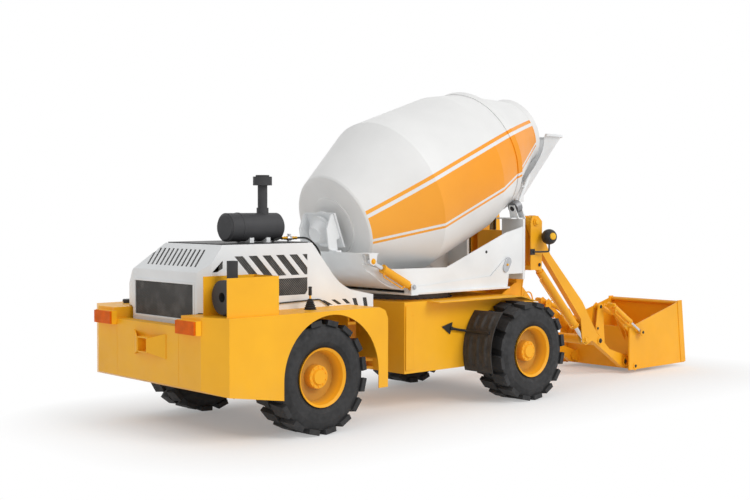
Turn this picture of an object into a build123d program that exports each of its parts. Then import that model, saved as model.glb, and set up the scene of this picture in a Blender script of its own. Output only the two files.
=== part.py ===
"""Self-loading concrete mixer: articulated chassis, slewing drum, loading arms and bucket.

Millimetres, +X towards the bucket, +Y to the left, +Z up. The origin is on the ground,
on the centre plane, in the middle of the machine's length.
"""
from build123d import *
from math import asin, cos, hypot, radians, sin, sqrt
import os

# Wheels and axles
WHEELBASE = 3260.0
FRONT_AXLE_X = 260.0
REAR_AXLE_X = FRONT_AXLE_X - WHEELBASE
TYRE_R = 587.5
TYRE_W = 420.0
TYRE_BORE_R = 292.0
WHEEL_Y = 990.0
LUG_COUNT = 16
LUG_DEPTH = 38.0
LUG_W = 140.0
LUG_SLANT = 30.0
RIM_WALL = 12.0
HUB_R = 118.0
SPINDLE_R = 70.0
RUNNING = 0.5
AXLE_R = 88.0
DIFF_R = 175.0

# Sheet and plate thicknesses
SKIN = 8.0
PLATE = 20.0
SHEET = 5.0

# Articulation between the two frames
PIVOT_X = -1740.0
PIN_R = 45.0
LUG_END_R = 105.0

# Front frame
FRONT_REAR_X = -1440.0
FRONT_TIP_X = 1090.0
FRONT_HALF = 750.0
FRONT_FLOOR_Z = 430.0
DECK_Z = 1235.0
WING_HALF = 950.0
NOSE_BEND_X = 706.0
NOSE_BEND_Z = 1140.0
NOSE_TIP_Z = 1080.0
NOSE_WALL_X = 880.0
NOSE_HALF = 580.0
NOSE_FLOOR_Z = 560.0

# Slewing base and drum cradle
SLEW_X = -740.0
RING_R = 560.0
RING_Z = 1310.0
BASE_HALF = 662.0
CRADLE_HALF = 646.0
CRADLE_PIVOT_X = 384.0
CRADLE_PIVOT_Z = 1597.0
BULKHEAD_X = 700.0
BULKHEAD_T = 40.0

# Drum: distance along its axis from the end cap, and radius
DRUM_X = -1846.0
DRUM_Z = 2096.0
DRUM_TILT = 20.86
DRUM_CAP_R = 593.0
DRUM_REAR_S = 868.0
DRUM_REAR_R = 941.0
DRUM_FRONT_R = 894.0
TRACK_S = 2422.0
FRONT_SHOULDER = 422.0
DRUM_FRONT_S = TRACK_S - FRONT_SHOULDER
TRACK_R = 788.0
MOUTH_S = 3278.0
MOUTH_R = 428.0
MOUTH_RIM_W = 90.0
MOUTH_RIM_H = 30.0
CAP_DISC_R = 330.0
CAP_DISC_T = 14.0
TRACK_W = 80.0
TRACK_H = 22.0
ROLLER_R = 80.0
ROLLER_W = 90.0
ROLLER_ANGLE = 38.0

# Rear body
REAR_FACE_X = -4320.0
BODY_HALF = 1222.0
FACE_HALF = 950.0
BODY_TOP_Z = 1260.0
RECESS_Z = 1145.0
RECESS_HALF = 620.0
ARCH_X = -2897.0
ARCH_Z = 590.0
ARCH_R = 630.0
BOX_FRONT_X = -3640.0
FENDER_FRONT_X = -2135.0
BODY_FLOOR_Z = 412.0

# Hood
HOOD_HALF = 760.0
HOOD_REAR_X = -4120.0
HOOD_TOP_Z = 1935.0
HOOD_FRONT_X = -2790.0
HOOD_TAIL_X = -1925.0
HOOD_FLOOR_Z = BODY_TOP_Z
TAIL_Z = 1355.0
TAIL_LOW_Z = 1180.0
GRILLE_HALF = 545.0
GRILLE_FRAME_HALF = 590.0
GRILLE_LOW_Z = 1135.0
WINDOW_HALF = 530.0
WINDOW_LOW_Z = 1195.0
WINDOW_TOP_Z = 1542.0
CHAMFER_Y = 250.0
CHAMFER_LOW_Z = 1500.0

# Loading arms, in the XZ plane
ARM_Y = 450.0
ARM_W = 80.0
EAR_GAP = 10.0
EAR_T = 15.0
ARM_PIVOT = (1109.0, 2111.0)
LIFT_BASE = (1175.0, 1566.0)
LIFT_EYE = (2188.0, 525.0)
BUCKET_PIN = (3049.0, 163.0)
TILT_BASE = (2503.0, 951.0)
TILT_EYE = (2955.0, 800.0)
TOWER_REAR_X = 1010.0

# Bucket: back and floor on the arms, sides and front as a gate
BUCKET_HALF = 600.0
BUCKET_REAR_X = 3005.0
BUCKET_FRONT_X = 4258.0
BUCKET_LIP_X = 4378.0
BUCKET_FLOOR_Z = 50.0
BUCKET_BACK_Z = 630.0
BUCKET_FRONT_Z = 941.0
GATE_PIN = (3153.0, 98.0)
GATE_BASE = (2560.0, 980.0)
GATE_EYE = (3225.0, 566.0)
GATE_Y = 644.0

# Cab, on the left in front of the wheel
CAB_REAR_X = 900.0
CAB_FRONT_X = 1730.0
CAB_IN_Y = 600.0
CAB_OUT_Y = 1262.0
CAB_FLOOR_Z = 760.0
CAB_ROOF_Z = 2330.0
CAB_WALL = 40.0

# Running clearance between pieces that move past each other, and at each side of a cylinder's eye
CLEAR = 5.0
EYE_GAP = 0.5

pieces = {}


def keep(name, part):
    """Label a finished piece and put it on the list to be written."""
    part.label = name
    pieces[name] = part


def block(x0, x1, y0, y1, z0, z1, mode=Mode.ADD):
    """A box between two corners, added to the part being built."""
    with Locations(((x0 + x1) / 2, (y0 + y1) / 2, (z0 + z1) / 2)):
        Box(x1 - x0, y1 - y0, z1 - z0, mode=mode)


def slab(outline, y0, y1, mode=Mode.ADD):
    """A plate whose outline lies in XZ, from y0 to y1."""
    with BuildSketch(Plane.XZ.offset(-y1)) as profile:
        with BuildLine():
            Polyline(*outline, close=True)
        make_face()
    extrude(profile.sketch, amount=y1 - y0, mode=mode)


def shelf(outline, z0, z1, mode=Mode.ADD):
    """A plate whose outline lies in XY, from z0 to z1."""
    with BuildSketch(Plane.XY.offset(z0)) as profile:
        with BuildLine():
            Polyline(*outline, close=True)
        make_face()
    extrude(profile.sketch, amount=z1 - z0, mode=mode)


def wall(outline, x0, x1, mode=Mode.ADD):
    """A plate whose outline lies in YZ, from x0 to x1."""
    with BuildSketch(Plane.YZ.offset(x0)) as profile:
        with BuildLine():
            Polyline(*outline, close=True)
        make_face()
    extrude(profile.sketch, amount=x1 - x0, mode=mode)


def turned(outline, origin, direction, mode=Mode.ADD):
    """A solid turned about an axis, its outline given as distance along the axis and radius."""
    with BuildSketch(Plane(origin=origin, x_dir=direction, z_dir=(0, -1, 0))) as profile:
        with BuildLine():
            Polyline(*outline, close=True)
        make_face()
    revolve(profile.sketch, axis=Axis(origin, direction), mode=mode)


def bar(start, end, radius, mode=Mode.ADD):
    """A round bar or bore between two points."""
    axis = Vector(*end) - Vector(*start)
    with BuildSketch(Plane(origin=start, z_dir=axis)) as profile:
        Circle(radius)
    extrude(profile.sketch, amount=axis.length, mode=mode)


def cross_bar(point, y0, y1, radius, mode=Mode.ADD):
    """A round bar or bore along Y at an XZ point."""
    bar((point[0], y0, point[1]), (point[0], y1, point[1]), radius, mode)


def between(start, end, distance):
    """The XZ point that lies a distance from start towards end."""
    length = hypot(end[0] - start[0], end[1] - start[1])
    share = distance / length
    return (start[0] + (end[0] - start[0]) * share, start[1] + (end[1] - start[1]) * share)


def cylinder_pair(name, base, eye, y, barrel_r, rod_r, shoulder, barrel_len, eye_r, eye_w, pin_r, retract):
    """The barrels and the rods of a left and right hydraulic cylinder, as two pieces.

    The full barrel runs from shoulder to barrel_len along the line from the base pin to the eye,
    and the rods can go in by the length retract from where they stand.
    """
    neck_end = between(base, eye, eye_r + 14)
    barrel_start = between(base, eye, shoulder)
    barrel_end = between(base, eye, barrel_len)
    collar = between(base, eye, barrel_len - barrel_r * 0.5)
    hollow = between(base, eye, shoulder + 10)
    with BuildPart() as barrels:
        cross_bar(base, y - eye_w / 2, y + eye_w / 2, eye_r)
        bar((base[0], y, base[1]), (barrel_start[0], y, barrel_start[1]), min(rod_r, eye_w / 2))
        if shoulder > eye_r + 15:
            bar((neck_end[0], y, neck_end[1]), (barrel_start[0], y, barrel_start[1]), barrel_r * 0.75)
        bar((barrel_start[0], y, barrel_start[1]), (barrel_end[0], y, barrel_end[1]), barrel_r)
        bar((collar[0], y, collar[1]), (barrel_end[0], y, barrel_end[1]), barrel_r * 1.12)
        bar((hollow[0], y, hollow[1]), (barrel_end[0], y, barrel_end[1]), rod_r + RUNNING, Mode.SUBTRACT)
        cross_bar(base, y - eye_w, y + eye_w, pin_r + RUNNING, Mode.SUBTRACT)
        mirror(about=Plane.XZ)
    keep(name + "_barrels", barrels.part)
    tail = between(base, eye, shoulder + 10 + CLEAR + retract)
    rod_end = between(eye, base, eye_r * 0.8)
    with BuildPart() as rods:
        bar((tail[0], y, tail[1]), (rod_end[0], y, rod_end[1]), rod_r)
        cross_bar(eye, y - eye_w / 2, y + eye_w / 2, eye_r)
        mirror(about=Plane.XZ)
    keep(name + "_rods", rods.part)


# Tyre: a round carcass with staggered slanting lugs, its axis along Y
half_w = TYRE_W / 2
carcass_r = TYRE_R - LUG_DEPTH
lug_reach = LUG_W / 2 + LUG_SLANT / 2
lug_top = sqrt(TYRE_R**2 - lug_reach**2)
lug_foot = carcass_r - 22.0
lug_in = 14.0
with BuildPart() as tyre:
    with BuildSketch(Plane.YZ):
        with BuildLine():
            Polyline(
                (-half_w + 45, TYRE_BORE_R), (half_w - 45, TYRE_BORE_R),
                (half_w, TYRE_BORE_R + 70), (half_w, carcass_r - 95),
                (half_w - 32, carcass_r - 14), (0, carcass_r),
                (-half_w + 32, carcass_r - 14), (-half_w, carcass_r - 95),
                (-half_w, TYRE_BORE_R + 70), close=True,
            )
        make_face()
    revolve(axis=Axis.Y)
    for side in (1, -1):
        for index in range(LUG_COUNT):
            turn = 360.0 / LUG_COUNT * (index + (0.0 if side > 0 else 0.5))
            angle = radians(turn - 90.0) + asin(lug_reach / TYRE_R)
            outward = Vector(cos(angle), 0, sin(angle))
            with BuildSketch(Plane(origin=outward * lug_foot, x_dir=(0, side, 0), z_dir=outward)):
                with BuildLine():
                    Polyline(
                        (lug_in, -LUG_SLANT / 2 - LUG_W / 2), (half_w, LUG_SLANT / 2 - LUG_W / 2),
                        (half_w, LUG_SLANT / 2 + LUG_W / 2), (lug_in, -LUG_SLANT / 2 + LUG_W / 2),
                        close=True,
                    )
                make_face()
            extrude(amount=lug_top - lug_foot)

# Rim: barrel, deep dish and stepped hub, with a bore for the axle's spindle
dish_y = 30.0
hub_face_y = 128.0
cap_face_y = 150.0
with BuildPart() as rim:
    with BuildSketch(Plane.YZ):
        with BuildLine():
            Polyline(
                (-half_w + 20, TYRE_BORE_R), (-half_w + 20, TYRE_BORE_R - RIM_WALL),
                (dish_y, TYRE_BORE_R - RIM_WALL), (dish_y, HUB_R), (-70, HUB_R), (-70, SPINDLE_R + RUNNING),
                (60, SPINDLE_R + RUNNING), (60, 0), (cap_face_y, 0), (cap_face_y, 72), (hub_face_y, 84),
                (hub_face_y, HUB_R), (dish_y + 15, HUB_R + 8), (dish_y + 15, TYRE_BORE_R - 45),
                (half_w - 30, TYRE_BORE_R - 14), (half_w - 10, TYRE_BORE_R + 12),
                (half_w - 42, TYRE_BORE_R), close=True,
            )
        make_face()
    revolve(axis=Axis.Y)

wheels = (
    # name, axle's x, side
    ("front_left", FRONT_AXLE_X, 1),
    ("front_right", FRONT_AXLE_X, -1),
    ("rear_left", REAR_AXLE_X, 1),
    ("rear_right", REAR_AXLE_X, -1),
)
for name, axle_x, side in wheels:
    for kind, source in (("tyre", tyre), ("rim", rim)):
        shape = source.part if side > 0 else mirror(source.part, about=Plane.XZ)
        keep(f"{kind}_{name}", shape.moved(Location((axle_x, side * WHEEL_Y, TYRE_R))))

# Axles: housing, differential, planet hubs and spindles
spindle_y = WHEEL_Y + 55.0
hub_in_y = WHEEL_Y - 75.0
SADDLE_TOP_Z = 690.0
for name, axle_x, mount_half in (("front_axle", FRONT_AXLE_X, FRONT_HALF), ("rear_axle", REAR_AXLE_X, 440.0)):
    with BuildPart() as axle:
        bar((axle_x, -hub_in_y + 60, TYRE_R), (axle_x, hub_in_y - 60, TYRE_R), AXLE_R)
        bar((axle_x, -spindle_y, TYRE_R), (axle_x, spindle_y, TYRE_R), SPINDLE_R)
        with BuildSketch(Plane.XZ):
            with Locations((axle_x, TYRE_R)):
                Circle(DIFF_R)
        extrude(amount=120, taper=25, both=True)
        for side in (1, -1):
            hub = sorted((side * (hub_in_y - 70), side * (hub_in_y - 5)))
            bar((axle_x, hub[0], TYRE_R), (axle_x, hub[1], TYRE_R), 145)
            seat = sorted((side * (mount_half - 100), side * mount_half))
            block(axle_x - 110, axle_x + 110, seat[0], seat[1], TYRE_R, SADDLE_TOP_Z)
    keep(name, axle.part)

# Front frame: side plates, floor, rear and front walls, deck, nose, wings and hinge lugs
def deck_z(x):
    """Height of the sloping deck's top over the nose."""
    return NOSE_BEND_Z - (x - NOSE_BEND_X) * (NOSE_BEND_Z - NOSE_TIP_Z) / (FRONT_TIP_X - NOSE_BEND_X)


side_outline = (
    (FRONT_REAR_X, FRONT_FLOOR_Z), (FRONT_REAR_X, DECK_Z - PLATE), (330, DECK_Z - PLATE),
    (NOSE_BEND_X, NOSE_BEND_Z - PLATE), (NOSE_WALL_X, deck_z(NOSE_WALL_X) - PLATE),
    (NOSE_WALL_X, NOSE_FLOOR_Z), (660, NOSE_FLOOR_Z), (600, SADDLE_TOP_Z),
    (-80, SADDLE_TOP_Z), (-150, FRONT_FLOOR_Z),
)
deck_outline = (
    (FRONT_REAR_X, DECK_Z - PLATE), (FRONT_REAR_X, DECK_Z), (336, DECK_Z), (NOSE_BEND_X, NOSE_BEND_Z),
    (NOSE_WALL_X, deck_z(NOSE_WALL_X)), (NOSE_WALL_X, deck_z(NOSE_WALL_X) - PLATE),
    (NOSE_BEND_X, NOSE_BEND_Z - PLATE), (330, DECK_Z - PLATE),
)
nose_top = (
    (NOSE_WALL_X, deck_z(NOSE_WALL_X)), (FRONT_TIP_X, NOSE_TIP_Z), (FRONT_TIP_X, NOSE_TIP_Z - PLATE),
    (NOSE_WALL_X, deck_z(NOSE_WALL_X) - PLATE),
)
nose_side = (
    (NOSE_WALL_X, deck_z(NOSE_WALL_X) - PLATE), (FRONT_TIP_X, NOSE_TIP_Z - PLATE), (FRONT_TIP_X, 760),
    (930, NOSE_FLOOR_Z), (NOSE_WALL_X, NOSE_FLOOR_Z),
)
wing_outline = (
    (-1080, DECK_Z - 12), (-1080, DECK_Z), (336, DECK_Z), (620, 1160), (615, 1150), (330, DECK_Z - 12),
)
POST_RIB_X = -1425.0
POST_RIB_W = 85.0
POST_RIB_T = 12.0
HINGES = (
    # low face and high face of the rear frame's lug, between the front frame's two lugs
    (470.0, 530.0),
    (990.0, 1050.0),
)
with BuildPart() as front_frame:
    slab(side_outline, FRONT_HALF - PLATE, FRONT_HALF)
    slab(wing_outline, FRONT_HALF, WING_HALF)
    block(POST_RIB_X, POST_RIB_X + POST_RIB_W, FRONT_HALF, FRONT_HALF + POST_RIB_T,
          FRONT_FLOOR_Z + 40, DECK_Z - 45)
    shelf(((-1080, WING_HALF), (620, WING_HALF), (560, WING_HALF - 110), (-1080, WING_HALF - 110)), 1020, 1150,
          Mode.SUBTRACT)
    mirror(about=Plane.XZ)
    slab(deck_outline, -FRONT_HALF, FRONT_HALF)
    slab(nose_top, -NOSE_HALF, NOSE_HALF)
    for side in (1, -1):
        cheek = sorted((side * (NOSE_HALF - PLATE), side * NOSE_HALF))
        slab(nose_side, cheek[0], cheek[1])
    inner = FRONT_HALF - PLATE
    block(FRONT_REAR_X, FRONT_REAR_X + PLATE, -inner, inner, FRONT_FLOOR_Z, DECK_Z - PLATE)
    block(NOSE_WALL_X - PLATE, NOSE_WALL_X, -inner, inner, NOSE_FLOOR_Z, deck_z(NOSE_WALL_X) - PLATE / 2)
    block(FRONT_TIP_X - PLATE, FRONT_TIP_X, -NOSE_HALF + PLATE, NOSE_HALF - PLATE, 760, NOSE_TIP_Z - PLATE / 2)
    block(FRONT_REAR_X, -150, -inner, inner, FRONT_FLOOR_Z, FRONT_FLOOR_Z + PLATE)
    for low, high in HINGES:
        for z in (low - PLATE - CLEAR * 0.1 - 10, high + CLEAR * 0.1):
            with BuildSketch(Plane.XY.offset(z)):
                with BuildLine():
                    Polyline(
                        (FRONT_REAR_X, 230), (PIVOT_X, LUG_END_R), (PIVOT_X, -LUG_END_R),
                        (FRONT_REAR_X, -230), close=True,
                    )
                make_face()
                with Locations((PIVOT_X, 0)):
                    Circle(LUG_END_R)
                    Circle(PIN_R, mode=Mode.SUBTRACT)
            extrude(amount=PLATE + 10)
keep("front_frame", front_frame.part)

with BuildPart() as pins:
    for low, high in HINGES:
        bar((PIVOT_X, 0, low - PLATE - 45), (PIVOT_X, 0, high + PLATE + 45), PIN_R)
        bar((PIVOT_X, 0, high + PLATE + 10.5), (PIVOT_X, 0, high + PLATE + 40), PIN_R + 25)
keep("articulation_pins", pins.part)

# Rear frame: rails, cross members, hinge neck and inner fender walls
RAIL_Y = 440.0
RAIL_TOP_Z = 1010.0
NECK_X = -2330.0
with BuildPart() as rear_frame:
    rail = (
        (BOX_FRONT_X - 500, 720), (BOX_FRONT_X - 500, RAIL_TOP_Z), (-2900, RAIL_TOP_Z),
        (NECK_X, RAIL_TOP_Z + 40),
        (NECK_X, FRONT_FLOOR_Z + 20), (NECK_X - 120, FRONT_FLOOR_Z + 20), (REAR_AXLE_X + 300, SADDLE_TOP_Z),
        (REAR_AXLE_X - 300, SADDLE_TOP_Z),
    )
    slab(rail, RAIL_Y - PLATE, RAIL_Y)
    block(BOX_FRONT_X - 500, BOX_FRONT_X - 480, RAIL_Y, RECESS_HALF, 720, RAIL_TOP_Z)
    mirror(about=Plane.XZ)
    for x in (NECK_X, REAR_AXLE_X + 420, BOX_FRONT_X - 300):
        low, high = (FRONT_FLOOR_Z + 20, HINGES[1][1]) if x == NECK_X else (760, 990)
        block(x - PLATE, x, -RAIL_Y + PLATE, RAIL_Y - PLATE, low, high)
    for low, high in HINGES:
        with BuildSketch(Plane.XY.offset(low)):
            with BuildLine():
                Polyline(
                    (NECK_X, 300), (PIVOT_X, LUG_END_R), (PIVOT_X, -LUG_END_R), (NECK_X, -300), close=True,
                )
            make_face()
            with Locations((PIVOT_X, 0)):
                Circle(LUG_END_R)
                Circle(PIN_R + RUNNING, mode=Mode.SUBTRACT)
        extrude(amount=high - low)
    for low, high in HINGES:
        block(NECK_X, NECK_X + 140, -18, 18, low - 120, low)
keep("rear_frame", rear_frame.part)

# Rear body: the box behind the wheels with its recess, side skins with the arches, fender tops
floor_line = (
    (REAR_FACE_X, 560), (REAR_FACE_X + 138, 508), (BOX_FRONT_X, BODY_FLOOR_Z + 18),
    (BOX_FRONT_X, BODY_TOP_Z), (REAR_FACE_X, BODY_TOP_Z),
)
skin_line = (
    (REAR_FACE_X + 138, 508), (ARCH_X - ARCH_R, BODY_FLOOR_Z), (FENDER_FRONT_X, BODY_FLOOR_Z),
    (FENDER_FRONT_X, BODY_TOP_Z - 120), (FENDER_FRONT_X - 40, BODY_TOP_Z - 35),
    (FENDER_FRONT_X - 120, BODY_TOP_Z), (REAR_FACE_X + 138, BODY_TOP_Z),
)
fender_top = (
    (BOX_FRONT_X, BODY_TOP_Z - SKIN), (BOX_FRONT_X, BODY_TOP_Z), (FENDER_FRONT_X - 120, BODY_TOP_Z),
    (FENDER_FRONT_X - 40, BODY_TOP_Z - 35), (FENDER_FRONT_X, BODY_TOP_Z - 120),
    (FENDER_FRONT_X - SKIN, BODY_TOP_Z - 120), (FENDER_FRONT_X - 46, BODY_TOP_Z - 41),
    (FENDER_FRONT_X - 123, BODY_TOP_Z - SKIN),
)
FENDER_IN_Y = 712.0
with BuildPart() as rear_body:
    slab(floor_line, -BODY_HALF, BODY_HALF)
    block(REAR_FACE_X + 150, BOX_FRONT_X - 150, -RECESS_HALF, RECESS_HALF, 0, BODY_TOP_Z, Mode.SUBTRACT)
    block(REAR_FACE_X, REAR_FACE_X + 150, -RECESS_HALF, RECESS_HALF, RECESS_Z, BODY_TOP_Z, Mode.SUBTRACT)
    block(BOX_FRONT_X - 150, BOX_FRONT_X, -RECESS_HALF, RECESS_HALF, 700, BODY_TOP_Z, Mode.SUBTRACT)
    for side in (1, -1):
        with BuildSketch(Plane.XY.offset(0)):
            with BuildLine():
                Polyline(
                    (REAR_FACE_X - 10, side * FACE_HALF), (REAR_FACE_X - 10, side * (BODY_HALF + 10)),
                    (REAR_FACE_X + 138, side * (BODY_HALF + 10)), (REAR_FACE_X + 138, side * BODY_HALF),
                    (REAR_FACE_X, side * FACE_HALF), close=True,
                )
            make_face()
        extrude(amount=BODY_TOP_Z + 10, mode=Mode.SUBTRACT)
    for side in (1, -1):
        skin = sorted((side * (BODY_HALF - SKIN), side * BODY_HALF))
        slab(skin_line, skin[0], skin[1])
        top = sorted((side * FENDER_IN_Y, side * (BODY_HALF - SKIN)))
        slab(fender_top, top[0], top[1])
        cut = sorted((side * (BODY_HALF - SKIN - 1), side * (BODY_HALF + 1)))
        cross_bar((ARCH_X, ARCH_Z), cut[0], cut[1], ARCH_R, Mode.SUBTRACT)
        block(ARCH_X - ARCH_R, ARCH_X + ARCH_R, cut[0], cut[1], 0, ARCH_Z, Mode.SUBTRACT)
        apron = sorted((side * FENDER_IN_Y, side * (FENDER_IN_Y + SKIN)))
        block(BOX_FRONT_X, FENDER_FRONT_X - 123, apron[0], apron[1], 940, BODY_TOP_Z - SKIN)
        post = sorted((side * (FENDER_IN_Y + SKIN), side * (BODY_HALF - SKIN)))
        block(FENDER_FRONT_X - SKIN, FENDER_FRONT_X, post[0], post[1], 700, BODY_TOP_Z - 120)
keep("rear_body", rear_body.part)

# Tow bracket on the rear face: a box with flared cheeks and a pin hole
TOW_Y = -65.0
TOW_Z = 935.0
TOW_PIN_R = 20.0
TOW_REACH = 95.0
TOW_HALF = 90.0
TOW_H = 66.0
TOW_T = 12.0
TOW_FLARE = 190.0
TOW_WING_H = 125.0
with BuildPart() as tow_bracket:
    for z in (TOW_Z - TOW_H - TOW_T, TOW_Z + TOW_H):
        block(REAR_FACE_X - TOW_REACH, REAR_FACE_X, TOW_Y - TOW_HALF, TOW_Y + TOW_HALF, z, z + TOW_T)
    for side in (1, -1):
        cheek = sorted((TOW_Y + side * (TOW_HALF - TOW_T), TOW_Y + side * TOW_HALF))
        block(REAR_FACE_X - TOW_REACH, REAR_FACE_X, cheek[0], cheek[1], TOW_Z - TOW_H, TOW_Z + TOW_H)
        foot = Vector(REAR_FACE_X - TOW_REACH, TOW_Y + side * (TOW_HALF - TOW_T / 2), TOW_Z)
        along = Vector(TOW_REACH, side * TOW_FLARE, 0)
        with BuildSketch(Plane(origin=foot, x_dir=along, z_dir=(-TOW_FLARE, side * TOW_REACH, 0))) as wing:
            with BuildLine():
                Polyline((0, -TOW_H), (along.length + TOW_T, -TOW_WING_H), (along.length + TOW_T, TOW_WING_H),
                         (0, TOW_H), close=True)
            make_face()
        extrude(wing.sketch, amount=TOW_T)
    block(REAR_FACE_X, REAR_FACE_X + TOW_REACH, TOW_Y - 400, TOW_Y + 400, TOW_Z - 200, TOW_Z + 200,
          Mode.SUBTRACT)
    bar((REAR_FACE_X - 55, TOW_Y, TOW_Z - 80), (REAR_FACE_X - 55, TOW_Y, TOW_Z + 80), TOW_PIN_R, Mode.SUBTRACT)
keep("tow_bracket", tow_bracket.part)

# Rear lamps in their housings
LAMP_W = 330.0
LAMP_H = 140.0
LAMP_CENTRES = (735.0, -795.0)
LAMP_Z = 1158.0
with BuildPart() as lamp_housings:
    for y in LAMP_CENTRES:
        block(REAR_FACE_X - 60, REAR_FACE_X, y - LAMP_W / 2, y + LAMP_W / 2,
              LAMP_Z - LAMP_H / 2, LAMP_Z + LAMP_H / 2)
keep("lamp_housings", lamp_housings.part)
with BuildPart() as tail_lamps:
    for y in LAMP_CENTRES:
        block(
            REAR_FACE_X - 82, REAR_FACE_X - 60, y - LAMP_W / 2 + 6, y + LAMP_W / 2 - 6,
            LAMP_Z - LAMP_H / 2 + 6, LAMP_Z + LAMP_H / 2 - 6,
        )
keep("tail_lamps", tail_lamps.part)

# Engine: one plain block on the rails
ENGINE_X = (-3950.0, -2960.0)
ENGINE_HALF = 360.0
ENGINE_TOP_Z = 1660.0
ENGINE_FEET_X = (-3900.0, -3060.0)
ENGINE_FOOT_L = 60.0
with BuildPart() as engine:
    block(ENGINE_X[0], ENGINE_X[1], -ENGINE_HALF, ENGINE_HALF, RAIL_TOP_Z, ENGINE_TOP_Z)
    for x in ENGINE_FEET_X:
        block(x, x + ENGINE_FOOT_L, -RAIL_Y, RAIL_Y, RAIL_TOP_Z, RAIL_TOP_Z + 60)
keep("engine", engine.part)

# Hood: its outline, then its slots, windows and screens
HOOD_EDGE_Z = 1665.0
SLOPE_L = 190.0
CORNER_L = 65.0
CURVE = ((HOOD_FRONT_X + 250, 1640), (HOOD_FRONT_X + 392, 1500), (HOOD_FRONT_X + 536, 1423))


def hood_body(inset):
    """The hood's solid form, its walls moved in by the inset, drawn in the part being built."""
    with BuildSketch(Plane.XZ.offset(-HOOD_HALF + inset)) as side:
        with BuildLine():
            Polyline(
                (HOOD_TAIL_X, TAIL_LOW_Z), (FENDER_FRONT_X - 5, TAIL_LOW_Z),
                (FENDER_FRONT_X - 40, BODY_TOP_Z - 35),
                (FENDER_FRONT_X - 120, HOOD_FLOOR_Z), (HOOD_REAR_X, HOOD_FLOOR_Z), (HOOD_REAR_X, HOOD_EDGE_Z),
                (HOOD_REAR_X + SLOPE_L, HOOD_TOP_Z), (HOOD_FRONT_X, HOOD_TOP_Z), CURVE[0],
            )
            ThreePointArc(*CURVE)
            Polyline(CURVE[2], (HOOD_TAIL_X, TAIL_Z), (HOOD_TAIL_X, TAIL_LOW_Z))
        make_face()
        if inset:
            offset(amount=-inset, mode=Mode.REPLACE)
    extrude(side.sketch, amount=2 * (HOOD_HALF - inset))
    # the left upper edge is cut off at a slant along the whole hood
    run = HOOD_HALF - CHAMFER_Y
    drop = HOOD_TOP_Z - CHAMFER_LOW_Z
    back = inset * hypot(run, drop) / drop
    wall(((CHAMFER_Y - back, HOOD_TOP_Z), (HOOD_HALF - back, CHAMFER_LOW_Z),
          (HOOD_HALF - back + run, CHAMFER_LOW_Z - drop),
          (HOOD_HALF + run, HOOD_TOP_Z + drop), (CHAMFER_Y - back - run, HOOD_TOP_Z + drop)),
         HOOD_REAR_X - 1, HOOD_TAIL_X + 1, Mode.SUBTRACT)
    # the rear corners are cut back to the grille's frame
    for hand in (1, -1):
        shelf(((HOOD_REAR_X - 1, hand * (GRILLE_FRAME_HALF - inset)),
               (HOOD_REAR_X + CORNER_L + inset, hand * (HOOD_HALF + 1)),
               (HOOD_REAR_X - 1, hand * (HOOD_HALF + 1))), TAIL_LOW_Z, HOOD_TOP_Z + 1, Mode.SUBTRACT)


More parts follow.
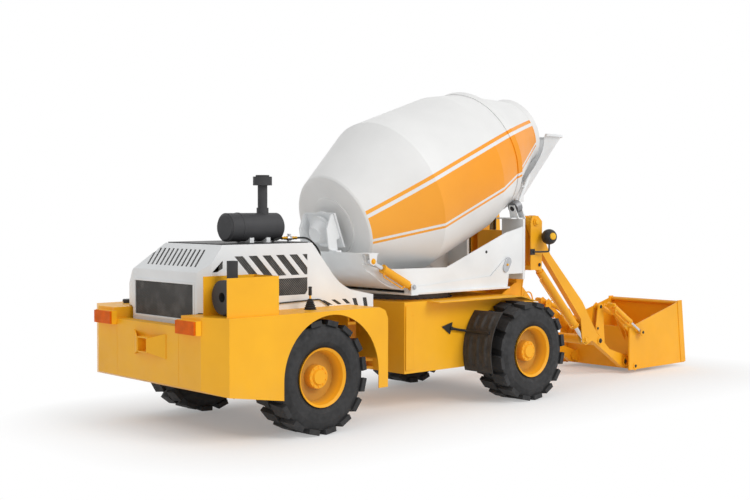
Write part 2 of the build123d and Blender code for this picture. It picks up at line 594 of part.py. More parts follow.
SLOT_COUNT = 6
SLOT_PITCH = 173.0
SLOT_W = 104.0
SLOT_X = -3785.0
SLOT_TOP_Z = 1820.0
SLOT_LOW_Z = 1608.0
SLOT_SLANT = 205.0
SIDE_WINDOW_X = (-3230.0, -2852.0)
SIDE_WINDOW_Z = (1402.0, 1577.0)
TAIL_SLOTS = 5
TAIL_SLOT_X = -2680.0
TAIL_SLOT_W = 56.0
TAIL_SLOT_LEAN = 24.0
TRIANGLE = ((-4050.0, 1672.0), (-3925.0, 1785.0), (-3925.0, 1705.0), (-3990.0, 1672.0))
TAIL_SLOT_PITCH = 150.0
LOUVRES = 12
SCREEN_T = 6.0
LINING = SHEET + SCREEN_T
with BuildPart() as hood:
    hood_body(0.0)
    with BuildPart() as hood_inside:
        hood_body(SHEET)
    add(hood_inside.part, mode=Mode.SUBTRACT)
    block(HOOD_REAR_X + SHEET, FENDER_FRONT_X - 120, -HOOD_HALF + SHEET, HOOD_HALF - SHEET,
          HOOD_FLOOR_Z - 1, HOOD_FLOOR_Z + 2 * SHEET, Mode.SUBTRACT)
    block(FENDER_FRONT_X - 122, HOOD_TAIL_X - SHEET, -HOOD_HALF + SHEET, HOOD_HALF - SHEET,
          TAIL_LOW_Z - 1, HOOD_FLOOR_Z + 2 * SHEET, Mode.SUBTRACT)
    # the grille's frame reaches down into the body's recess
    block(HOOD_REAR_X, HOOD_REAR_X + SHEET, -GRILLE_FRAME_HALF + 12, GRILLE_FRAME_HALF - 12,
          GRILLE_LOW_Z, WINDOW_TOP_Z)
    block(HOOD_REAR_X - 1, HOOD_REAR_X + 3 * SHEET, -WINDOW_HALF, WINDOW_HALF, WINDOW_LOW_Z, WINDOW_TOP_Z,
          Mode.SUBTRACT)
    # diagonal slots, side window, triangle and tail slots in both sides
    for index in range(SLOT_COUNT):
        x = SLOT_X + index * SLOT_PITCH
        reach = min(x + SLOT_W, SIDE_WINDOW_X[1])
        foot = min(x + SLOT_W + SLOT_SLANT, SIDE_WINDOW_X[1])
        rise = (x + SLOT_W + SLOT_SLANT - foot) * (SLOT_TOP_Z - SLOT_LOW_Z) / SLOT_SLANT
        low = min(x + SLOT_SLANT, SIDE_WINDOW_X[1])
        low_z = SLOT_TOP_Z - (low - x) * (SLOT_TOP_Z - SLOT_LOW_Z) / SLOT_SLANT
        outline = [(x, SLOT_TOP_Z), (reach, SLOT_TOP_Z), (foot, SLOT_LOW_Z + rise)]
        if low_z < SLOT_LOW_Z + rise - 1:
            outline.append((foot, low_z))
        if low < foot:
            outline.append((low, low_z))
        slab(outline, -HOOD_HALF - 1, -HOOD_HALF + LINING, Mode.SUBTRACT)
    slab(((SIDE_WINDOW_X[0], SIDE_WINDOW_Z[1]), (SIDE_WINDOW_X[1], SIDE_WINDOW_Z[1]),
          (SIDE_WINDOW_X[1], SIDE_WINDOW_Z[0] + 40), (SIDE_WINDOW_X[1] - 30, SIDE_WINDOW_Z[0]),
          (SIDE_WINDOW_X[0], SIDE_WINDOW_Z[0])), -HOOD_HALF - 1, HOOD_HALF + 1, Mode.SUBTRACT)
    slab(TRIANGLE, -HOOD_HALF - 1, -HOOD_HALF + LINING, Mode.SUBTRACT)
    for index in range(TAIL_SLOTS):
        x = TAIL_SLOT_X + index * TAIL_SLOT_PITCH
        lean = TAIL_SLOT_LEAN * (TAIL_SLOTS - index)
        slot_low = max(TAIL_LOW_Z + 28, HOOD_FLOOR_Z + 12 if index < 3 else 0)
        slab(((x, TAIL_Z - 28), (x + TAIL_SLOT_W, TAIL_Z - 28), (x + TAIL_SLOT_W + lean, slot_low),
              (x + lean, slot_low)),
             -HOOD_HALF - 1, HOOD_HALF + 1, Mode.SUBTRACT)
    # louvres in the slope
    slope = Plane(
        origin=(HOOD_REAR_X + SLOPE_L / 2, -80, (HOOD_EDGE_Z + HOOD_TOP_Z) / 2), x_dir=(0, 1, 0),
        z_dir=(-(HOOD_TOP_Z - HOOD_EDGE_Z), 0, SLOPE_L),
    )
    with BuildSketch(slope):
        with GridLocations(78, 1, LOUVRES, 1):
            Rectangle(36, 205)
    extrude(amount=LINING, both=True, mode=Mode.SUBTRACT)
keep("hood", hood.part)

# Dark screens behind the hood's openings, and the dark cover on top
SCREENS = (
    # opening, x from and to, y from and to, z from and to
    ("right slots", -3970.0, -2840.0, -HOOD_HALF, -HOOD_HALF + LINING, 1596.0, 1832.0),
    ("right window", -3245.0, -2840.0, -HOOD_HALF, -HOOD_HALF + LINING, 1390.0, 1596.0),
    ("left window", -3245.0, -2840.0, HOOD_HALF - 60.0, HOOD_HALF, 1390.0, 1590.0),
    ("right tail", -2700.0, -1950.0, -HOOD_HALF, -HOOD_HALF + LINING, 1196.0, 1338.0),
    ("left tail", -2700.0, -1950.0, HOOD_HALF - LINING, HOOD_HALF, 1196.0, 1338.0),
    ("slope", HOOD_REAR_X, HOOD_REAR_X + SLOPE_L, -GRILLE_HALF - 30.0, 420.0, 1690.0, 1915.0),
)
with BuildPart() as lining:
    hood_body(SHEET)
    with BuildPart() as lining_inside:
        hood_body(LINING)
    add(lining_inside.part, mode=Mode.SUBTRACT)
with BuildPart() as hood_mesh:
    for _, x0, x1, y0, y1, z0, z1 in SCREENS:
        with BuildPart() as patch:
            add(lining.part)
            block(x0, x1, y0, y1, z0, z1, Mode.INTERSECT)
        add(patch.part)
    block(HOOD_REAR_X + SHEET, HOOD_REAR_X + LINING, -WINDOW_HALF - 20, WINDOW_HALF + 20,
          WINDOW_LOW_Z - 20, WINDOW_TOP_Z + 20)
keep("hood_mesh", hood_mesh.part)

with BuildPart() as hood_top:
    block(HOOD_REAR_X + 215, HOOD_FRONT_X - 25, -HOOD_HALF + 40, CHAMFER_Y - 12, HOOD_TOP_Z, HOOD_TOP_Z + 10)
keep("hood_top", hood_top.part)

# Guard box round the muffler: outer plate, inner plate and front plate, open at the back and top
GUARD_REAR_X = -4180.0
GUARD_FRONT_X = -3560.0
GUARD_TOP_Z = 1638.0
GUARD_OUT_Y = -1184.0
GUARD_IN_Y = -790.0
with BuildPart() as guard_box:
    block(GUARD_REAR_X, GUARD_FRONT_X, GUARD_OUT_Y, GUARD_OUT_Y + 6, BODY_TOP_Z, GUARD_TOP_Z)
    block(GUARD_REAR_X, GUARD_FRONT_X, GUARD_IN_Y - 6, GUARD_IN_Y, BODY_TOP_Z, GUARD_TOP_Z)
    block(GUARD_FRONT_X - 6, GUARD_FRONT_X, GUARD_OUT_Y + 6, GUARD_IN_Y - 6, BODY_TOP_Z, GUARD_TOP_Z)
keep("guard_box", guard_box.part)

MUFFLER_R = 165.0
MUFFLER_Y = -987.0
MUFFLER_Z = BODY_TOP_Z + MUFFLER_R + 18
with BuildPart() as muffler:
    bar((GUARD_REAR_X + 80, MUFFLER_Y, MUFFLER_Z), (GUARD_FRONT_X - 60, MUFFLER_Y, MUFFLER_Z), MUFFLER_R)
    bar((GUARD_REAR_X + 80, MUFFLER_Y, MUFFLER_Z), (GUARD_REAR_X + 240, MUFFLER_Y, MUFFLER_Z), 48,
        Mode.SUBTRACT)
    bar((GUARD_REAR_X + 205, MUFFLER_Y, MUFFLER_Z), (GUARD_REAR_X + 205, MUFFLER_Y, 1790), 54)
    bar((GUARD_REAR_X + 205, MUFFLER_Y, MUFFLER_Z + 80), (GUARD_REAR_X + 205, MUFFLER_Y, 1790), 47,
        Mode.SUBTRACT)
    for x in (GUARD_REAR_X + 150, GUARD_FRONT_X - 130):
        block(x, x + 30, MUFFLER_Y - 90, MUFFLER_Y + 90, BODY_TOP_Z, MUFFLER_Z - 120)
keep("muffler", muffler.part)

# Air cleaner lying on the hood, with its stack and rain cap
CLEANER_R = 145.0
CLEANER_Y = -500.0
CLEANER_Z = 2102.0
CLEANER_REAR_X = -3722.0
CLEANER_FRONT_X = -3045.0
STACK_X = -3237.0
with BuildPart() as air_cleaner:
    with BuildSketch(Plane.XZ.offset(-CLEANER_Y)):
        with BuildLine():
            Polyline(
                (CLEANER_REAR_X, CLEANER_Z), (CLEANER_REAR_X, CLEANER_Z + CLEANER_R - 22),
                (CLEANER_REAR_X + 18, CLEANER_Z + CLEANER_R - 6), (CLEANER_REAR_X + 18, CLEANER_Z + CLEANER_R),
                (CLEANER_REAR_X + 150, CLEANER_Z + CLEANER_R), (CLEANER_REAR_X + 154, CLEANER_Z + CLEANER_R + 5),
                (CLEANER_REAR_X + 176, CLEANER_Z + CLEANER_R + 5), (CLEANER_REAR_X + 180, CLEANER_Z + CLEANER_R),
                (CLEANER_FRONT_X - 20, CLEANER_Z + CLEANER_R), (CLEANER_FRONT_X, CLEANER_Z + CLEANER_R - 20),
                (CLEANER_FRONT_X, CLEANER_Z + 40), (CLEANER_FRONT_X + 60, CLEANER_Z + 40),
                (CLEANER_FRONT_X + 60, CLEANER_Z), close=True,
            )
        make_face()
    revolve(axis=Axis((CLEANER_REAR_X, CLEANER_Y, CLEANER_Z), (1, 0, 0)))
    bar((STACK_X, CLEANER_Y, CLEANER_Z + 40), (STACK_X, CLEANER_Y, 2535), 50)
    bar((STACK_X, CLEANER_Y, CLEANER_Z + 100), (STACK_X, CLEANER_Y, 2300), 62)
    bar((STACK_X, CLEANER_Y, 2530), (STACK_X, CLEANER_Y, 2620), 98)
    bar((STACK_X, CLEANER_Y, 2620), (STACK_X, CLEANER_Y, 2636), 70)
keep("air_cleaner", air_cleaner.part)

with BuildPart() as cleaner_brackets:
    for x in (-3480, -3270):
        block(x, x + 50, CLEANER_Y - 110, CLEANER_Y + 110, HOOD_TOP_Z + 10, HOOD_TOP_Z + 60)
        bar((x - 1, CLEANER_Y, CLEANER_Z), (x + 51, CLEANER_Y, CLEANER_Z), CLEANER_R, Mode.SUBTRACT)
keep("cleaner_brackets", cleaner_brackets.part)

# Slewing ring fixed on the deck
RING_W = 130.0
RING_GAP_Z = 20.0
with BuildPart() as slew_ring:
    bar((SLEW_X, 0, DECK_Z), (SLEW_X, 0, RING_Z - RING_GAP_Z - RUNNING), RING_R)
    bar((SLEW_X, 0, DECK_Z), (SLEW_X, 0, RING_Z), RING_R - RING_W, Mode.SUBTRACT)
keep("slew_ring", slew_ring.part)

# Slewing base: turntable, side plates with bottom flange, pivot pins and cylinder lugs
LIFT_LOW = (-1306.0, 1402.0)
LIFT_HIGH = (-1925.0, 1712.0)
CRADLE_CYL_Y = 724.0
CRADLE_EYE_W = 60.0
CRADLE_EYE_PIN_R = 17.0
CRADLE_PIN_R = 32.0
BASE_REAR_X = -1345.0
BASE_FRONT_X = 400.0
FLANGE_W = 40.0
LUG_T = 10.0
base_top = RING_Z + PLATE
base_side = (
    (BASE_REAR_X, base_top), (BASE_REAR_X, 1392), (-1000, 1405), (100, 1470), (330, 1650), (384, 1665),
    (432, 1640), (440, 1575), (BASE_FRONT_X, base_top),
)
lug_line = (
    (LIFT_LOW[0] - 39, base_top), (LIFT_LOW[0] - 39, LIFT_LOW[1] + 25), (LIFT_LOW[0], LIFT_LOW[1] + 45),
    (LIFT_LOW[0] + 40, LIFT_LOW[1] + 25), (LIFT_LOW[0] + 70, base_top),
)
lug_out = CRADLE_CYL_Y + CRADLE_EYE_W / 2 + EYE_GAP
lug_in_y = CRADLE_CYL_Y - CRADLE_EYE_W / 2 - EYE_GAP
with BuildPart() as slew_base:
    bar((SLEW_X, 0, RING_Z - RING_GAP_Z), (SLEW_X, 0, base_top), RING_R - 10)
    block(BASE_REAR_X, BASE_FRONT_X, -BASE_HALF - FLANGE_W, BASE_HALF + FLANGE_W, RING_Z, base_top)
    bar((SLEW_X, 0, RING_Z - RING_GAP_Z), (SLEW_X, 0, base_top), RING_R - RING_W - 30, Mode.SUBTRACT)
    for side in (1, -1):
        plate = sorted((side * (BASE_HALF - LUG_T), side * BASE_HALF))
        slab(base_side, plate[0], plate[1])
        for inner_y in (lug_in_y - LUG_T, lug_out):
            ear = sorted((side * inner_y, side * (inner_y + LUG_T)))
            slab(lug_line, ear[0], ear[1])
        pin = sorted((side * (lug_in_y - LUG_T - 6), side * (lug_out + LUG_T + 6)))
        cross_bar(LIFT_LOW, pin[0], pin[1], CRADLE_EYE_PIN_R)
        foot = sorted((side * BASE_HALF, side * (lug_out + LUG_T)))
        block(BASE_REAR_X, LIFT_LOW[0] + 70, foot[0], foot[1], RING_Z, base_top)
        pivot = sorted((side * (CRADLE_HALF - 30), side * (BASE_HALF + 12)))
        cross_bar((CRADLE_PIVOT_X, CRADLE_PIVOT_Z), pivot[0], pivot[1], CRADLE_PIN_R)
keep("slew_base", slew_base.part)

# Cradle: side plates, floor with curved rear, front bulkhead and clevises for its cylinders
cradle_low = RING_Z + 45.0
cradle_side = (
    (-1290, cradle_low), (300, cradle_low), (420, 1480), (BULKHEAD_X, 1480), (BULKHEAD_X, 2060),
    (372, 1985), (-657, 1600), (-1695, 1612), (-1990, 1690), (-1925, 1600), (-1810, 1545), (-1480, cradle_low + 30),
)
POST_W = 350.0
BULKHEAD_LOW_Z = 1405.0
BULKHEAD_TOP_Z = 2155.0
TROUGH_T = 12.0
trough_top = (-2000.0, 1802.0)
clevis_line = (
    (LIFT_HIGH[0] - 60, trough_top[1] - LUG_T), (LIFT_HIGH[0] - 45, LIFT_HIGH[1] - 20),
    (LIFT_HIGH[0], LIFT_HIGH[1] - 48), (LIFT_HIGH[0] + 45, LIFT_HIGH[1] - 20),
    (LIFT_HIGH[0] + 60, trough_top[1] - LUG_T),
)
with BuildPart() as cradle:
    with BuildSketch(Plane.XZ.offset(-CRADLE_HALF)):
        with BuildLine():
            Line((-1290, cradle_low), (-1480, cradle_low + 30))
            ThreePointArc((-1480, cradle_low + 30), (-1810, 1545), trough_top)
            Line(trough_top, (trough_top[0] + TROUGH_T, trough_top[1]))
            ThreePointArc(
                (trough_top[0] + TROUGH_T, trough_top[1]), (-1800, 1556), (-1474, cradle_low + 30 + TROUGH_T),
            )
            Line((-1474, cradle_low + 30 + TROUGH_T), (-1290, cradle_low + TROUGH_T))
            Line((-1290, cradle_low + TROUGH_T), (-1290, cradle_low))
        make_face()
    extrude(amount=2 * CRADLE_HALF)
    block(-1290, 300, -CRADLE_HALF + LUG_T, CRADLE_HALF - LUG_T, cradle_low, cradle_low + TROUGH_T)
    block(BULKHEAD_X, BULKHEAD_X + BULKHEAD_T, -300, 300, BULKHEAD_LOW_Z, 1600)
    for side in (1, -1):
        plate = sorted((side * (CRADLE_HALF - LUG_T), side * CRADLE_HALF))
        slab(cradle_side, plate[0], plate[1])
        post = sorted((side * (CRADLE_HALF + 4 - POST_W), side * (CRADLE_HALF + 4)))
        block(BULKHEAD_X, BULKHEAD_X + BULKHEAD_T, post[0], post[1], BULKHEAD_LOW_Z, BULKHEAD_TOP_Z)
        boss = sorted((side * (CRADLE_HALF - 32), side * (CRADLE_HALF - LUG_T)))
        cross_bar((CRADLE_PIVOT_X, CRADLE_PIVOT_Z), boss[0], boss[1], CRADLE_PIN_R + 30)
        bore = sorted((side * (CRADLE_HALF - 40), side * (CRADLE_HALF + 1)))
        cross_bar((CRADLE_PIVOT_X, CRADLE_PIVOT_Z), bore[0], bore[1], CRADLE_PIN_R + RUNNING, Mode.SUBTRACT)
        for inner_y in (lug_in_y - LUG_T, lug_out):
            ear = sorted((side * inner_y, side * (inner_y + LUG_T)))
            slab(clevis_line, ear[0], ear[1])
        roof = sorted((side * (CRADLE_HALF - 60), side * (lug_out + LUG_T)))
        block(trough_top[0], LIFT_HIGH[0] + 75, roof[0], roof[1], trough_top[1] - LUG_T, trough_top[1])
keep("cradle", cradle.part)

cylinder_pair(
    "cradle_cylinder", LIFT_LOW, LIFT_HIGH, CRADLE_CYL_Y, barrel_r=46.0, rod_r=26.0, shoulder=68.0,
    barrel_len=500.0, eye_r=36.0, eye_w=CRADLE_EYE_W, pin_r=CRADLE_EYE_PIN_R, retract=0.0,
)

# Gearbox behind the drum's end cap, on a pedestal of two cheeks and a back plate
tilt = radians(DRUM_TILT)
axis_dir = Vector(cos(tilt), 0, sin(tilt))
drum_origin = Vector(DRUM_X, 0, DRUM_Z)
GEAR_R = 165.0
GEAR_BACK = 300.0
GEAR_RING_R = 184.0
GEAR_FLANGE_R = 215.0
SHAFT_R = 60.0
PEDESTAL_Y = 245.0
PEDESTAL_PLATE_S = 150.0
PEDESTAL_PLATE_HALF = 262.0
PEDESTAL_UP = 205.0
gear_outline = (
    # distance along the drum's axis, radius
    (-GEAR_BACK, 0), (-GEAR_BACK, 88), (-GEAR_BACK + 22, 104), (-198, 150), (-198, GEAR_RING_R),
    (-176, GEAR_RING_R), (-176, GEAR_R), (-PEDESTAL_PLATE_S + PLATE, GEAR_R),
    (-PEDESTAL_PLATE_S + PLATE, GEAR_FLANGE_R), (-PEDESTAL_PLATE_S + 2 * PLATE, GEAR_FLANGE_R),
    (-PEDESTAL_PLATE_S + 2 * PLATE, SHAFT_R), (-CAP_DISC_T - RUNNING, SHAFT_R), (-CAP_DISC_T - RUNNING, 0),
)


def along_drum(s):
    """A point on the drum's axis."""
    return drum_origin + axis_dir * s


with BuildPart() as gearbox:
    turned(gear_outline, drum_origin, axis_dir)
keep("drum_gearbox", gearbox.part)
with BuildPart() as pedestal:
    for side in (1, -1):
        plate = sorted((side * (PEDESTAL_Y - PLATE), side * PEDESTAL_Y))
        slab(((trough_top[0] + TROUGH_T, trough_top[1]), (trough_top[0] - 20, trough_top[1]), (-2120, 1840),
              (-2150, 2060), (-2090, 2225), (-2035, 2225), (-1955, 2020), (-1965, 1960), (-2010, 1940), (-1995, 1850)),
             plate[0], plate[1])
        foot = sorted((side * (PEDESTAL_Y - 70), side * (PEDESTAL_Y + 60)))
        block(trough_top[0] - 60, trough_top[0] + TROUGH_T, foot[0], foot[1],
              trough_top[1], trough_top[1] + PLATE)
    back_plane = Plane(origin=along_drum(-PEDESTAL_PLATE_S), x_dir=(0, 1, 0), z_dir=axis_dir)
    with BuildSketch(back_plane) as back_plate:
        with Locations((0, 0)):
            Rectangle(2 * PEDESTAL_PLATE_HALF, 2 * PEDESTAL_UP)
    extrude(back_plate.sketch, amount=PLATE)
    add(gearbox.part, mode=Mode.SUBTRACT)
keep("gearbox_pedestal", pedestal.part)

# Drum: double cone shell with its track ring and mouth rim, open at the mouth
DRUM_SKIN = 7.0
with BuildPart() as drum:
    with BuildSketch(Plane(origin=drum_origin, x_dir=axis_dir, z_dir=(0, -1, 0))):
        with BuildLine():
            Polyline(
                (-CAP_DISC_T, 0), (-CAP_DISC_T, CAP_DISC_R), (0, CAP_DISC_R + 6), (0, DRUM_CAP_R - 45),
                (8, DRUM_CAP_R - 16), (26, DRUM_CAP_R), (DRUM_REAR_S, DRUM_REAR_R),
                (DRUM_FRONT_S, DRUM_FRONT_R), (TRACK_S - TRACK_W / 2, TRACK_R + 12),
                (TRACK_S - TRACK_W / 2, TRACK_R + TRACK_H), (TRACK_S + TRACK_W / 2, TRACK_R + TRACK_H),
                (TRACK_S + TRACK_W / 2, TRACK_R - 20), (MOUTH_S - MOUTH_RIM_W, MOUTH_R + MOUTH_RIM_H),
                (MOUTH_S, MOUTH_R + MOUTH_RIM_H), (MOUTH_S, MOUTH_R - DRUM_SKIN), (TRACK_S, TRACK_R - 24),
                (DRUM_FRONT_S, DRUM_FRONT_R - DRUM_SKIN), (DRUM_REAR_S, DRUM_REAR_R - DRUM_SKIN),
                (30, DRUM_CAP_R - 14), (16, DRUM_CAP_R - 72), (16, 0), close=True,
            )
        make_face()
    revolve(axis=Axis(drum_origin, axis_dir))
keep("drum", drum.part)


# Rollers under the track, in brackets on the bulkhead
def around_drum(s, r, angle):
    """A point at distance s along the axis, radius r, and an angle to the side from the lowest line."""
    down = r * cos(radians(angle))
    centre = along_drum(s)
    return Vector(centre.X + down * sin(tilt), r * sin(radians(angle)), centre.Z - down * cos(tilt))


ROLLER_PIN_R = 22.0
CHEEK_T = 12.0
BRACKET_TOP_Z = BULKHEAD_TOP_Z + 16.0
cheek_reach = ROLLER_W / 2 + CLEAR
roller_r_from_axis = TRACK_R + TRACK_H + ROLLER_R + RUNNING
with BuildPart() as rollers:
    for side in (1, -1):
        centre = around_drum(TRACK_S, roller_r_from_axis, side * ROLLER_ANGLE)
        bar(tuple(centre - axis_dir * (ROLLER_W / 2)), tuple(centre + axis_dir * (ROLLER_W / 2)), ROLLER_R)
        pin_end = axis_dir * (cheek_reach + CHEEK_T)
        bar(tuple(centre - pin_end), tuple(centre + pin_end), ROLLER_PIN_R)
keep("drum_rollers", rollers.part)
with BuildPart() as roller_brackets:
    for side in (1, -1):
        centre = around_drum(TRACK_S, roller_r_from_axis, side * ROLLER_ANGLE)
        for step in (-cheek_reach - CHEEK_T, cheek_reach):
            foot = centre + axis_dir * step
            with BuildSketch(Plane(origin=foot, x_dir=(0, 1, 0), z_dir=axis_dir)) as cheek:
                with BuildLine():
                    drop = (foot.Z - BULKHEAD_TOP_Z) / cos(tilt)
                    Polyline((-70, -drop), (70, -drop), (45, 40), (-45, 40), close=True)
                make_face()
            extrude(cheek.sketch, amount=CHEEK_T)
        bar(tuple(centre - pin_end * 1.1), tuple(centre + pin_end * 1.1), ROLLER_PIN_R, Mode.SUBTRACT)
        shelf_y = sorted((side * 330, side * 590))
        block(BULKHEAD_X - 150, BULKHEAD_X + 85, shelf_y[0], shelf_y[1], BULKHEAD_TOP_Z, BRACKET_TOP_Z)
keep("roller_brackets", roller_brackets.part)

# Discharge hopper at the mouth: half a funnel on two struts from the bulkhead
HOPPER_TOP_Z = 3210.0
HOPPER_LOW_Z = 2450.0
HOPPER_TOP = (1430.0, 500.0)
HOPPER_LOW = (1120.0, 230.0)
HOPPER_T = 6.0
STRUT_R = 24.0
HOPPER_RIM = 26.0
HOPPER_GAP = 60.0
SPOUT_LOW_Z = 2370.0
with BuildPart() as hopper:
    for grow, mode in ((0.0, Mode.ADD), (-HOPPER_T, Mode.SUBTRACT)):
        for z, (centre_x, radius) in ((HOPPER_LOW_Z, HOPPER_LOW), (HOPPER_TOP_Z, HOPPER_TOP)):
            with BuildSketch(Plane.XY.offset(z)):
                with Locations((centre_x, 0)):
                    Circle(radius + grow)
        loft(mode=mode)
    # spout below the funnel and a stiff rim on its top
    for low, high, (centre_x, radius), reach in (
        (SPOUT_LOW_Z, HOPPER_LOW_Z + HOPPER_T, HOPPER_LOW, 0.0),
        (HOPPER_TOP_Z, HOPPER_TOP_Z + 30, HOPPER_TOP, HOPPER_RIM),
    ):
        with BuildPart() as ring:
            bar((centre_x, 0, low), (centre_x, 0, high), radius + reach)
            bar((centre_x, 0, low), (centre_x, 0, high), radius - HOPPER_T, Mode.SUBTRACT)
        add(ring.part)
    slab(((0, SPOUT_LOW_Z - 1), (HOPPER_LOW[0] - 70, SPOUT_LOW_Z - 1), (HOPPER_LOW[0] - 70, HOPPER_LOW_Z - 1),
          (HOPPER_TOP[0] - 110, HOPPER_TOP_Z + 31), (0, HOPPER_TOP_Z + 31)), -700, 700, Mode.SUBTRACT)
    for side in (1, -1):
        bar((BULKHEAD_X, side * 345, 1900), (1200, side * 318, 2700), STRUT_R)
        edge = sorted((side * 200, side * 345))
        block(HOPPER_LOW[0] - 85, HOPPER_LOW[0] - 35, edge[0], edge[1], 2560, 2575)
    block(BULKHEAD_X - 100, BULKHEAD_X + BULKHEAD_T, -CRADLE_HALF, CRADLE_HALF, 1800, 2100, Mode.SUBTRACT)
    turned(((TRACK_S - 200, 0), (TRACK_S - 200, TRACK_R + HOPPER_GAP + 90),
            (MOUTH_S + HOPPER_GAP, MOUTH_R + HOPPER_GAP),
            (MOUTH_S + HOPPER_GAP, 0)), drum_origin, axis_dir, Mode.SUBTRACT)
keep("hopper", hopper.part)

# Boom tower on the nose: gussets, box column, head beam and a pair of cheeks for each arm
TOWER_HALF = 280.0
TOWER_FRONT_X = 1120.0
TOWER_T = 15.0
HEAD_LOW_Z = 1700.0
HEAD_TOP_Z = 2000.0
ARM_PIN_R = 40.0
cheek_in_y = ARM_Y - ARM_W / 2 - EAR_GAP
cheek_out_y = ARM_Y + ARM_W / 2 + EAR_GAP
EYE_PLATE_T = 10.0
ARM_EYE_W = ARM_W - 2 * EYE_PLATE_T - 2 * EYE_GAP
LIFT_PIN_R = 22.0
tower_side = (
    (TOWER_REAR_X, deck_z(TOWER_REAR_X)), (FRONT_TIP_X, NOSE_TIP_Z), (TOWER_FRONT_X - TOWER_T, NOSE_TIP_Z),
    (TOWER_FRONT_X - TOWER_T, HEAD_TOP_Z), (TOWER_REAR_X, HEAD_TOP_Z),
)
gusset = (
    (NOSE_BEND_X + 14, deck_z(NOSE_BEND_X + 14)), (TOWER_REAR_X, deck_z(TOWER_REAR_X)), (TOWER_REAR_X, 1330),
    (TOWER_REAR_X - 25, 1330), (NOSE_BEND_X + 14, 1190),
)
cheek_line = (
    (TOWER_REAR_X, 1500), (TOWER_REAR_X, 2120), (1040, 2190), (1150, 2190), (1230, 2120), (1230, 1500),
)
with BuildPart() as tower:
    for outline in (tower_side, gusset):
        slab(outline, TOWER_HALF - TOWER_T, TOWER_HALF)
    for inner_y in (cheek_in_y - EAR_T, cheek_out_y):
        slab(cheek_line, inner_y, inner_y + EAR_T)
    block(TOWER_REAR_X, TOWER_REAR_X + TOWER_T, cheek_in_y, cheek_out_y, 1500, 1560)
    cross_bar(ARM_PIVOT, cheek_in_y - EAR_T - 8, cheek_out_y + EAR_T + 8, ARM_PIN_R)
    eye_reach = ARM_EYE_W / 2 + EYE_GAP
    for boss in ((cheek_in_y, ARM_Y - eye_reach), (ARM_Y + eye_reach, cheek_out_y)):
        cross_bar(LIFT_BASE, boss[0], boss[1], 48)
    cross_bar(LIFT_BASE, cheek_in_y - EAR_T - 8, cheek_out_y + EAR_T + 8, LIFT_PIN_R)
    mirror(about=Plane.XZ)
    block(TOWER_FRONT_X - TOWER_T, TOWER_FRONT_X, -TOWER_HALF, TOWER_HALF, NOSE_TIP_Z, HEAD_TOP_Z)
    block(FRONT_TIP_X, TOWER_FRONT_X, -TOWER_HALF, TOWER_HALF, 800, NOSE_TIP_Z)
    block(TOWER_REAR_X, TOWER_REAR_X + TOWER_T, -TOWER_HALF + TOWER_T, TOWER_HALF - TOWER_T, 1330, HEAD_TOP_Z)
    block(TOWER_REAR_X, TOWER_FRONT_X + 10, -cheek_in_y + EAR_T, cheek_in_y - EAR_T, HEAD_LOW_Z, HEAD_TOP_Z)
keep("boom_tower", tower.part)

# Work lamp: a round housing on an angle bracket at the right cheek, its glass facing forward
LAMP_R = 100.0
LAMP_POINT = (1242.0, -cheek_out_y - EAR_T - LAMP_R - 8.0, 1923.0)
with BuildPart() as lamp:
    with Locations(LAMP_POINT):
        Sphere(LAMP_R)
    block(LAMP_POINT[0] + 30, LAMP_POINT[0] + LAMP_R, LAMP_POINT[1] - LAMP_R, LAMP_POINT[1] + LAMP_R,
          LAMP_POINT[2] - LAMP_R, LAMP_POINT[2] + LAMP_R, Mode.SUBTRACT)
    bar((LAMP_POINT[0] + 30, LAMP_POINT[1], LAMP_POINT[2]), (LAMP_POINT[0] + 46, LAMP_POINT[1], LAMP_POINT[2]),
        95)
    bar((LAMP_POINT[0], LAMP_POINT[1], LAMP_POINT[2] - 190), (LAMP_POINT[0], LAMP_POINT[1], LAMP_POINT[2] - 90),
        14)
    block(LAMP_POINT[0] - 60, LAMP_POINT[0] + 20, LAMP_POINT[1] - 25, -cheek_out_y - EAR_T,
          LAMP_POINT[2] - 198, LAMP_POINT[2] - 190)
    block(LAMP_POINT[0] - 60, LAMP_POINT[0] - 12, -cheek_out_y - EAR_T - 8, -cheek_out_y - EAR_T,
          LAMP_POINT[2] - 260, LAMP_POINT[2] - 198)
keep("work_lamp", lamp.part)

# Front mudguards behind the front wheels: a curved sheet with ribs, on two tubes from the frame
GUARD_ARC = ((-250.0, 1080.0), (-432.0, 760.0), (-415.0, 390.0))
GUARD_T = 8.0
GUARD_RIB = 14.0
GUARD_RIB_W = 46.0
GUARD_RIB_Y = (850.0, 982.0, 1114.0)
ARROW_X = (-1276.0, -1120.0)
ARROW_Z = 968.0
ARROW_H = 47.0
ARROW_T = 12.0
GUARD_ARM_X = -336.0
guard_in_y = 770.0
guard_out_y = 1195.0
with BuildPart() as mudguards:
    strips = [(guard_out_y, guard_out_y - guard_in_y, GUARD_T)]
    strips += [(y + GUARD_RIB_W / 2, GUARD_RIB_W, GUARD_T + GUARD_RIB) for y in GUARD_RIB_Y]
    for outer_y, width, thick in strips:
        with BuildSketch(Plane.XZ.offset(-outer_y)) as strip:
            with BuildLine():
                arc = ThreePointArc(*GUARD_ARC)
                offset(arc, amount=thick, side=Side.LEFT)
            make_face()
        extrude(strip.sketch, amount=width)
    # arm from a pointed plate on the frame to the sheet, with a cross plate behind it
    slab(((ARROW_X[0], ARROW_Z), (ARROW_X[1], ARROW_Z + ARROW_H), (ARROW_X[1], ARROW_Z - ARROW_H)),
         FRONT_HALF, FRONT_HALF + ARROW_T)
    bar((ARROW_X[1] - 30, FRONT_HALF + ARROW_T / 2 + 12, ARROW_Z), (GUARD_ARM_X, 960, ARROW_Z), 15)
    block(GUARD_ARM_X - 34, GUARD_ARM_X, guard_in_y + 30, guard_out_y - 60, ARROW_Z - 24, ARROW_Z + 24)
    mirror(about=Plane.XZ)
keep("front_mudguards", mudguards.part)

